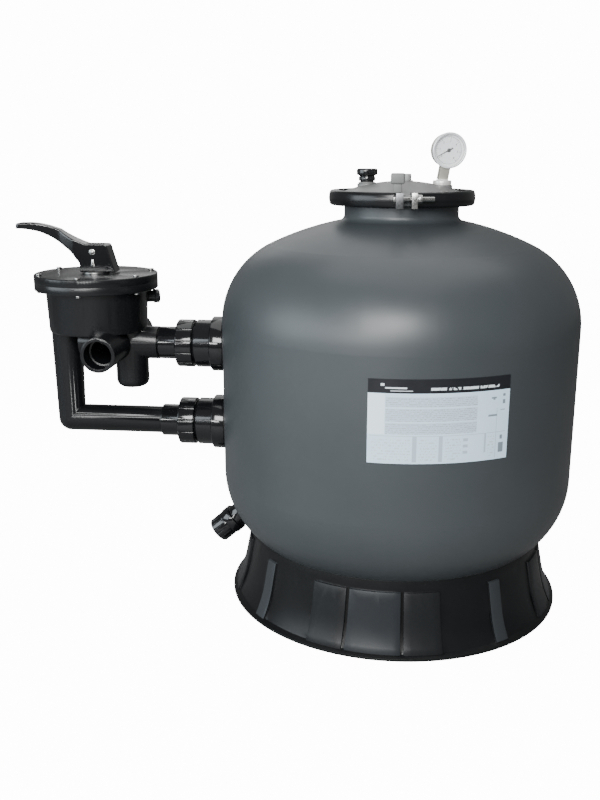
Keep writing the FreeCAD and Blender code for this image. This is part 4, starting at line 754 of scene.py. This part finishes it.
def make_dial():
    """White plate with a raised rim."""
    plate = lathe("gauge_scale_plate", [(0, -0.0006), (0.0262, -0.0006), (0.0266, -0.0003), (0.0266, 0),
                                        (0.0258, 0.0001), (0, 0.0001)], segments=72, closed=True)
    shade_smooth(plate, 40)
    stand_on_face(plate, dial_height())
    plate.data.materials.append(finishes["dial_white"])
    finish_piece(plate, "tank_body", "white_plastic", "gauge_dial")


def scale_angle(step):
    """Turn of a division of the scale from upright."""
    return math.radians(SCALE_START - SCALE_SWEEP * step / SCALE_STEPS)


def ticks(width, length, steps):
    """Lines of the scale at some of its divisions."""
    tick = block("tick", (width, length, 0.00012), (0, TICK_RADIUS - length / 2, INK_LIFT))
    return copies_round(tick, [scale_angle(step) for step in steps])


def dial_number(text, angle):
    """A number of the scale as a flat mesh."""
    deselect()
    bpy.ops.object.text_add(location=(0, 0, 0))
    number = bpy.context.active_object
    number.data.body = text
    number.data.size = NUMBER_HEIGHT
    number.data.align_x = "CENTER"
    number.data.align_y = "CENTER"
    number.data.extrude = 0.00006
    bpy.ops.object.convert(target="MESH")
    number = bpy.context.active_object
    number.location = (-NUMBER_RADIUS * math.sin(angle), NUMBER_RADIUS * math.cos(angle), INK_LIFT)
    apply_place()
    return number


def make_scale():
    """Printed arc, ticks and numbers of the dial."""
    numbered = range(0, SCALE_STEPS + 1, NUMBER_STEPS)
    plain = [step for step in range(SCALE_STEPS) if step % NUMBER_STEPS]
    arc = lathe("scale_arc", [(0.0225, 0.00005), (0.0229, 0.00005), (0.0229, 0.00016), (0.0225, 0.00016),
                              (0.0225, 0.00005)], segments=96, closed=True)
    numbers = [dial_number(str(step // NUMBER_STEPS), scale_angle(step)) for step in numbered]
    scale = join("gauge_scale", [arc, *ticks(0.0005, 0.0034, numbered), *ticks(0.00026, 0.0019, plain),
                                 *numbers])
    stand_on_face(scale, dial_height() + 0.0001)
    finish_piece(scale, "tank_body", "gauge_ink")


def make_needle():
    """Black needle with a broad tail and a domed hub, turned as the CAD needle is."""
    centre, across, upright, face = gauge_frame()
    reach = [vertex.co - centre for vertex in nodes["gauge_pointer"].data.vertices]
    tip = max(reach, key=lambda arm: (arm - face * arm.dot(face)).length)
    under = min(arm.dot(face) for arm in reach)
    blade = block("needle_blade", (NEEDLE_LENGTH, 0.0022, 0.0006),
                  (NEEDLE_LENGTH / 2 - NEEDLE_TAIL, 0, 0.0003), bevel=0.00018)
    for vertex in blade.data.vertices:
        vertex.co.y *= 1.0 - NEEDLE_TAPER * (vertex.co.x + NEEDLE_TAIL) / NEEDLE_LENGTH
    hub = lathe("needle_hub", [(0.0032, 0), (0.0032, 0.0008), (0.0026, 0.0012), (0, 0.0013)], segments=32)
    needle = join("gauge_needle", [blade, hub])
    needle.rotation_euler = (0, 0, math.atan2(tip.dot(upright), tip.dot(across)))
    apply_place()
    shade_smooth(needle, 40)
    stand_on_face(needle, max(under, dial_height() + NEEDLE_GAP))
    finish_piece(needle, body_of("gauge_pointer"), "gauge_ink", "gauge_pointer")


make_dial()
make_scale()
make_needle()


# ---------------------------------------------------------------- air release knob

KNOB_RIBS = 18                  # ribs of the body; the grip above has twice as many


def even_turns(count, start=0.0):
    """Evenly spaced angles round a circle, shifted by a share of their step."""
    return [2 * math.pi * (index + start) / count for index in range(count)]


def make_release_knob():
    """Ribbed body under a wide grip with fine ridges."""
    low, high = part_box("air_release_knob")
    axis = (low + high) / 2
    bottom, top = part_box("air_release_seal")[1].z + 0.0002, high.z
    body = lathe("release_knob_body", [
        (0.0052, bottom), (0.0138, bottom), (0.0138, bottom + 0.0066), (0.0128, bottom + 0.0082),
        (0.0150, bottom + 0.0092), (0.0178, bottom + 0.0104), (0.0181, bottom + 0.0120),
        (0.0181, top - 0.0022), (0.0170, top - 0.0006), (0.0150, top), (0.0110, top),
        (0.0098, top - 0.0010), (0, top - 0.0012)], segments=72)
    soften(body, 0.0004)
    rib = block("rib", (0.0016, 0.0014, 0.0064), (0.0137, 0, bottom + 0.0036), bevel=0.0005)
    ridge = block("ridge", (0.0006, 0.0012, top - bottom - 0.0158), (0.0179, 0, (bottom + top) / 2 + 0.0044),
                  bevel=0.0002)
    knob = join("release_knob", [body, *copies_round(rib, even_turns(KNOB_RIBS)),
                                 *copies_round(ridge, even_turns(2 * KNOB_RIBS, start=0.5))])
    settle(knob, (axis.x, axis.y, 0))
    finish_piece(knob, "release_knob", "black_plastic", "air_release_knob")


make_release_knob()


# ---------------------------------------------------------------- stage, light and camera

FLOOR_SIZE = 12
FLOOR_GLOW = 13.8               # brightness of the floor as the camera sees it
BACKDROP_LIGHT = 14.0           # brightness of the surroundings as the camera sees them
ROOM_LIGHT = 0.22               # even light that the surroundings give to the object
LENS = 41.52
SENSOR_WIDTH = 36
CAMERA_PLACE = (0, -1.6605, 0.8019)
CAMERA_TILT = 75.0682           # degrees up from straight down
CAMERA_TURN = 6.1455            # degrees to the left
TANK_MIDDLE = (-0.1, 0, 0.45)
LIGHTS = {
    "window_light": dict(place=(-0.3, -2.8, 1.8), size=(1.5, 1.0), power=110),
    "strip_light": dict(place=(-1.15, -2.7, 1.0), size=(1.7, 0.16), power=30, target=(-0.43, 0, 0.42)),
    "side_light": dict(place=(-2.7, -1.5, 1.15), size=(2.2, 1.4), power=58, colour=(0.84, 0.93, 1.0)),
    "fill_light": dict(place=(2.4, -1.6, 1.2), size=(1.6, 1.6), power=1.5, colour=(0.8, 0.9, 1.0)),
    "ceiling_light": dict(place=(0.1, 0.4, 3.0), size=(2.8, 2.8), power=40),
    "back_light": dict(place=(-0.6, 2.4, 2.0), size=(2.0, 2.0), power=14),
}


def camera_level(tree, unseen, seen):
    """One brightness for light that falls on the object, another for what the camera sees directly."""
    path = tree.nodes.new("ShaderNodeLightPath")
    level = tree.nodes.new("ShaderNodeMapRange")
    level.inputs["To Min"].default_value = unseen
    level.inputs["To Max"].default_value = seen
    tree.links.new(path.outputs["Is Camera Ray"], level.inputs["Value"])
    return level.outputs["Result"]


def make_floor():
    """A large pale floor with a soft tone."""
    deselect()
    bpy.ops.mesh.primitive_plane_add(size=FLOOR_SIZE, location=(0, 0, 0))
    floor = bpy.context.active_object
    floor.name = "floor"
    material, tree, shader = new_material("floor")
    tone = object_noise(tree, 0.8, detail=2.0, roughness=0.5)
    tree.links.new(ramp(tree, tone, (0.22, 0.22, 0.22), (0.25, 0.25, 0.25)), shader.inputs["Base Color"])
    tree.links.new(camera_level(tree, 0.0, FLOOR_GLOW), shader.inputs["Emission Strength"])
    shader.inputs["Roughness"].default_value = 0.6
    shader.inputs["Emission Color"].default_value = (1, 1, 1, 1)
    floor.data.materials.append(material)


def make_world():
    """White surroundings for the camera, and a dim even light on the object."""
    world = bpy.data.worlds.new("surroundings")
    world.use_nodes = True
    background = world.node_tree.nodes["Background"]
    background.inputs["Color"].default_value = (1, 1, 1, 1)
    level = camera_level(world.node_tree, ROOM_LIGHT, BACKDROP_LIGHT)
    world.node_tree.links.new(level, background.inputs["Strength"])
    bpy.context.scene.world = world


def area_light(name, place, size, power, target=TANK_MIDDLE, colour=(1, 1, 1)):
    """A soft rectangular light that looks at a point."""
    data = bpy.data.lights.new(name, "AREA")
    data.shape = "RECTANGLE"
    data.size, data.size_y = size
    data.energy = power
    data.color = colour
    light = bpy.data.objects.new(name, data)
    bpy.context.scene.collection.objects.link(light)
    light.location = place
    light.rotation_euler = (Vector(target) - Vector(place)).to_track_quat("-Z", "Y").to_euler()


def make_camera():
    """Camera in front of the tank, a little above it and turned slightly towards the valve."""
    data = bpy.data.cameras.new("camera")
    data.lens = LENS
    data.sensor_width = SENSOR_WIDTH
    data.clip_end = 50
    camera = bpy.data.objects.new("camera", data)
    bpy.context.scene.collection.objects.link(camera)
    camera.location = CAMERA_PLACE
    camera.rotation_euler = (math.radians(CAMERA_TILT), 0, math.radians(CAMERA_TURN))
    bpy.context.scene.camera = camera


make_floor()
make_world()
for light_name, light_setup in LIGHTS.items():
    area_light(light_name, **light_setup)
make_camera()
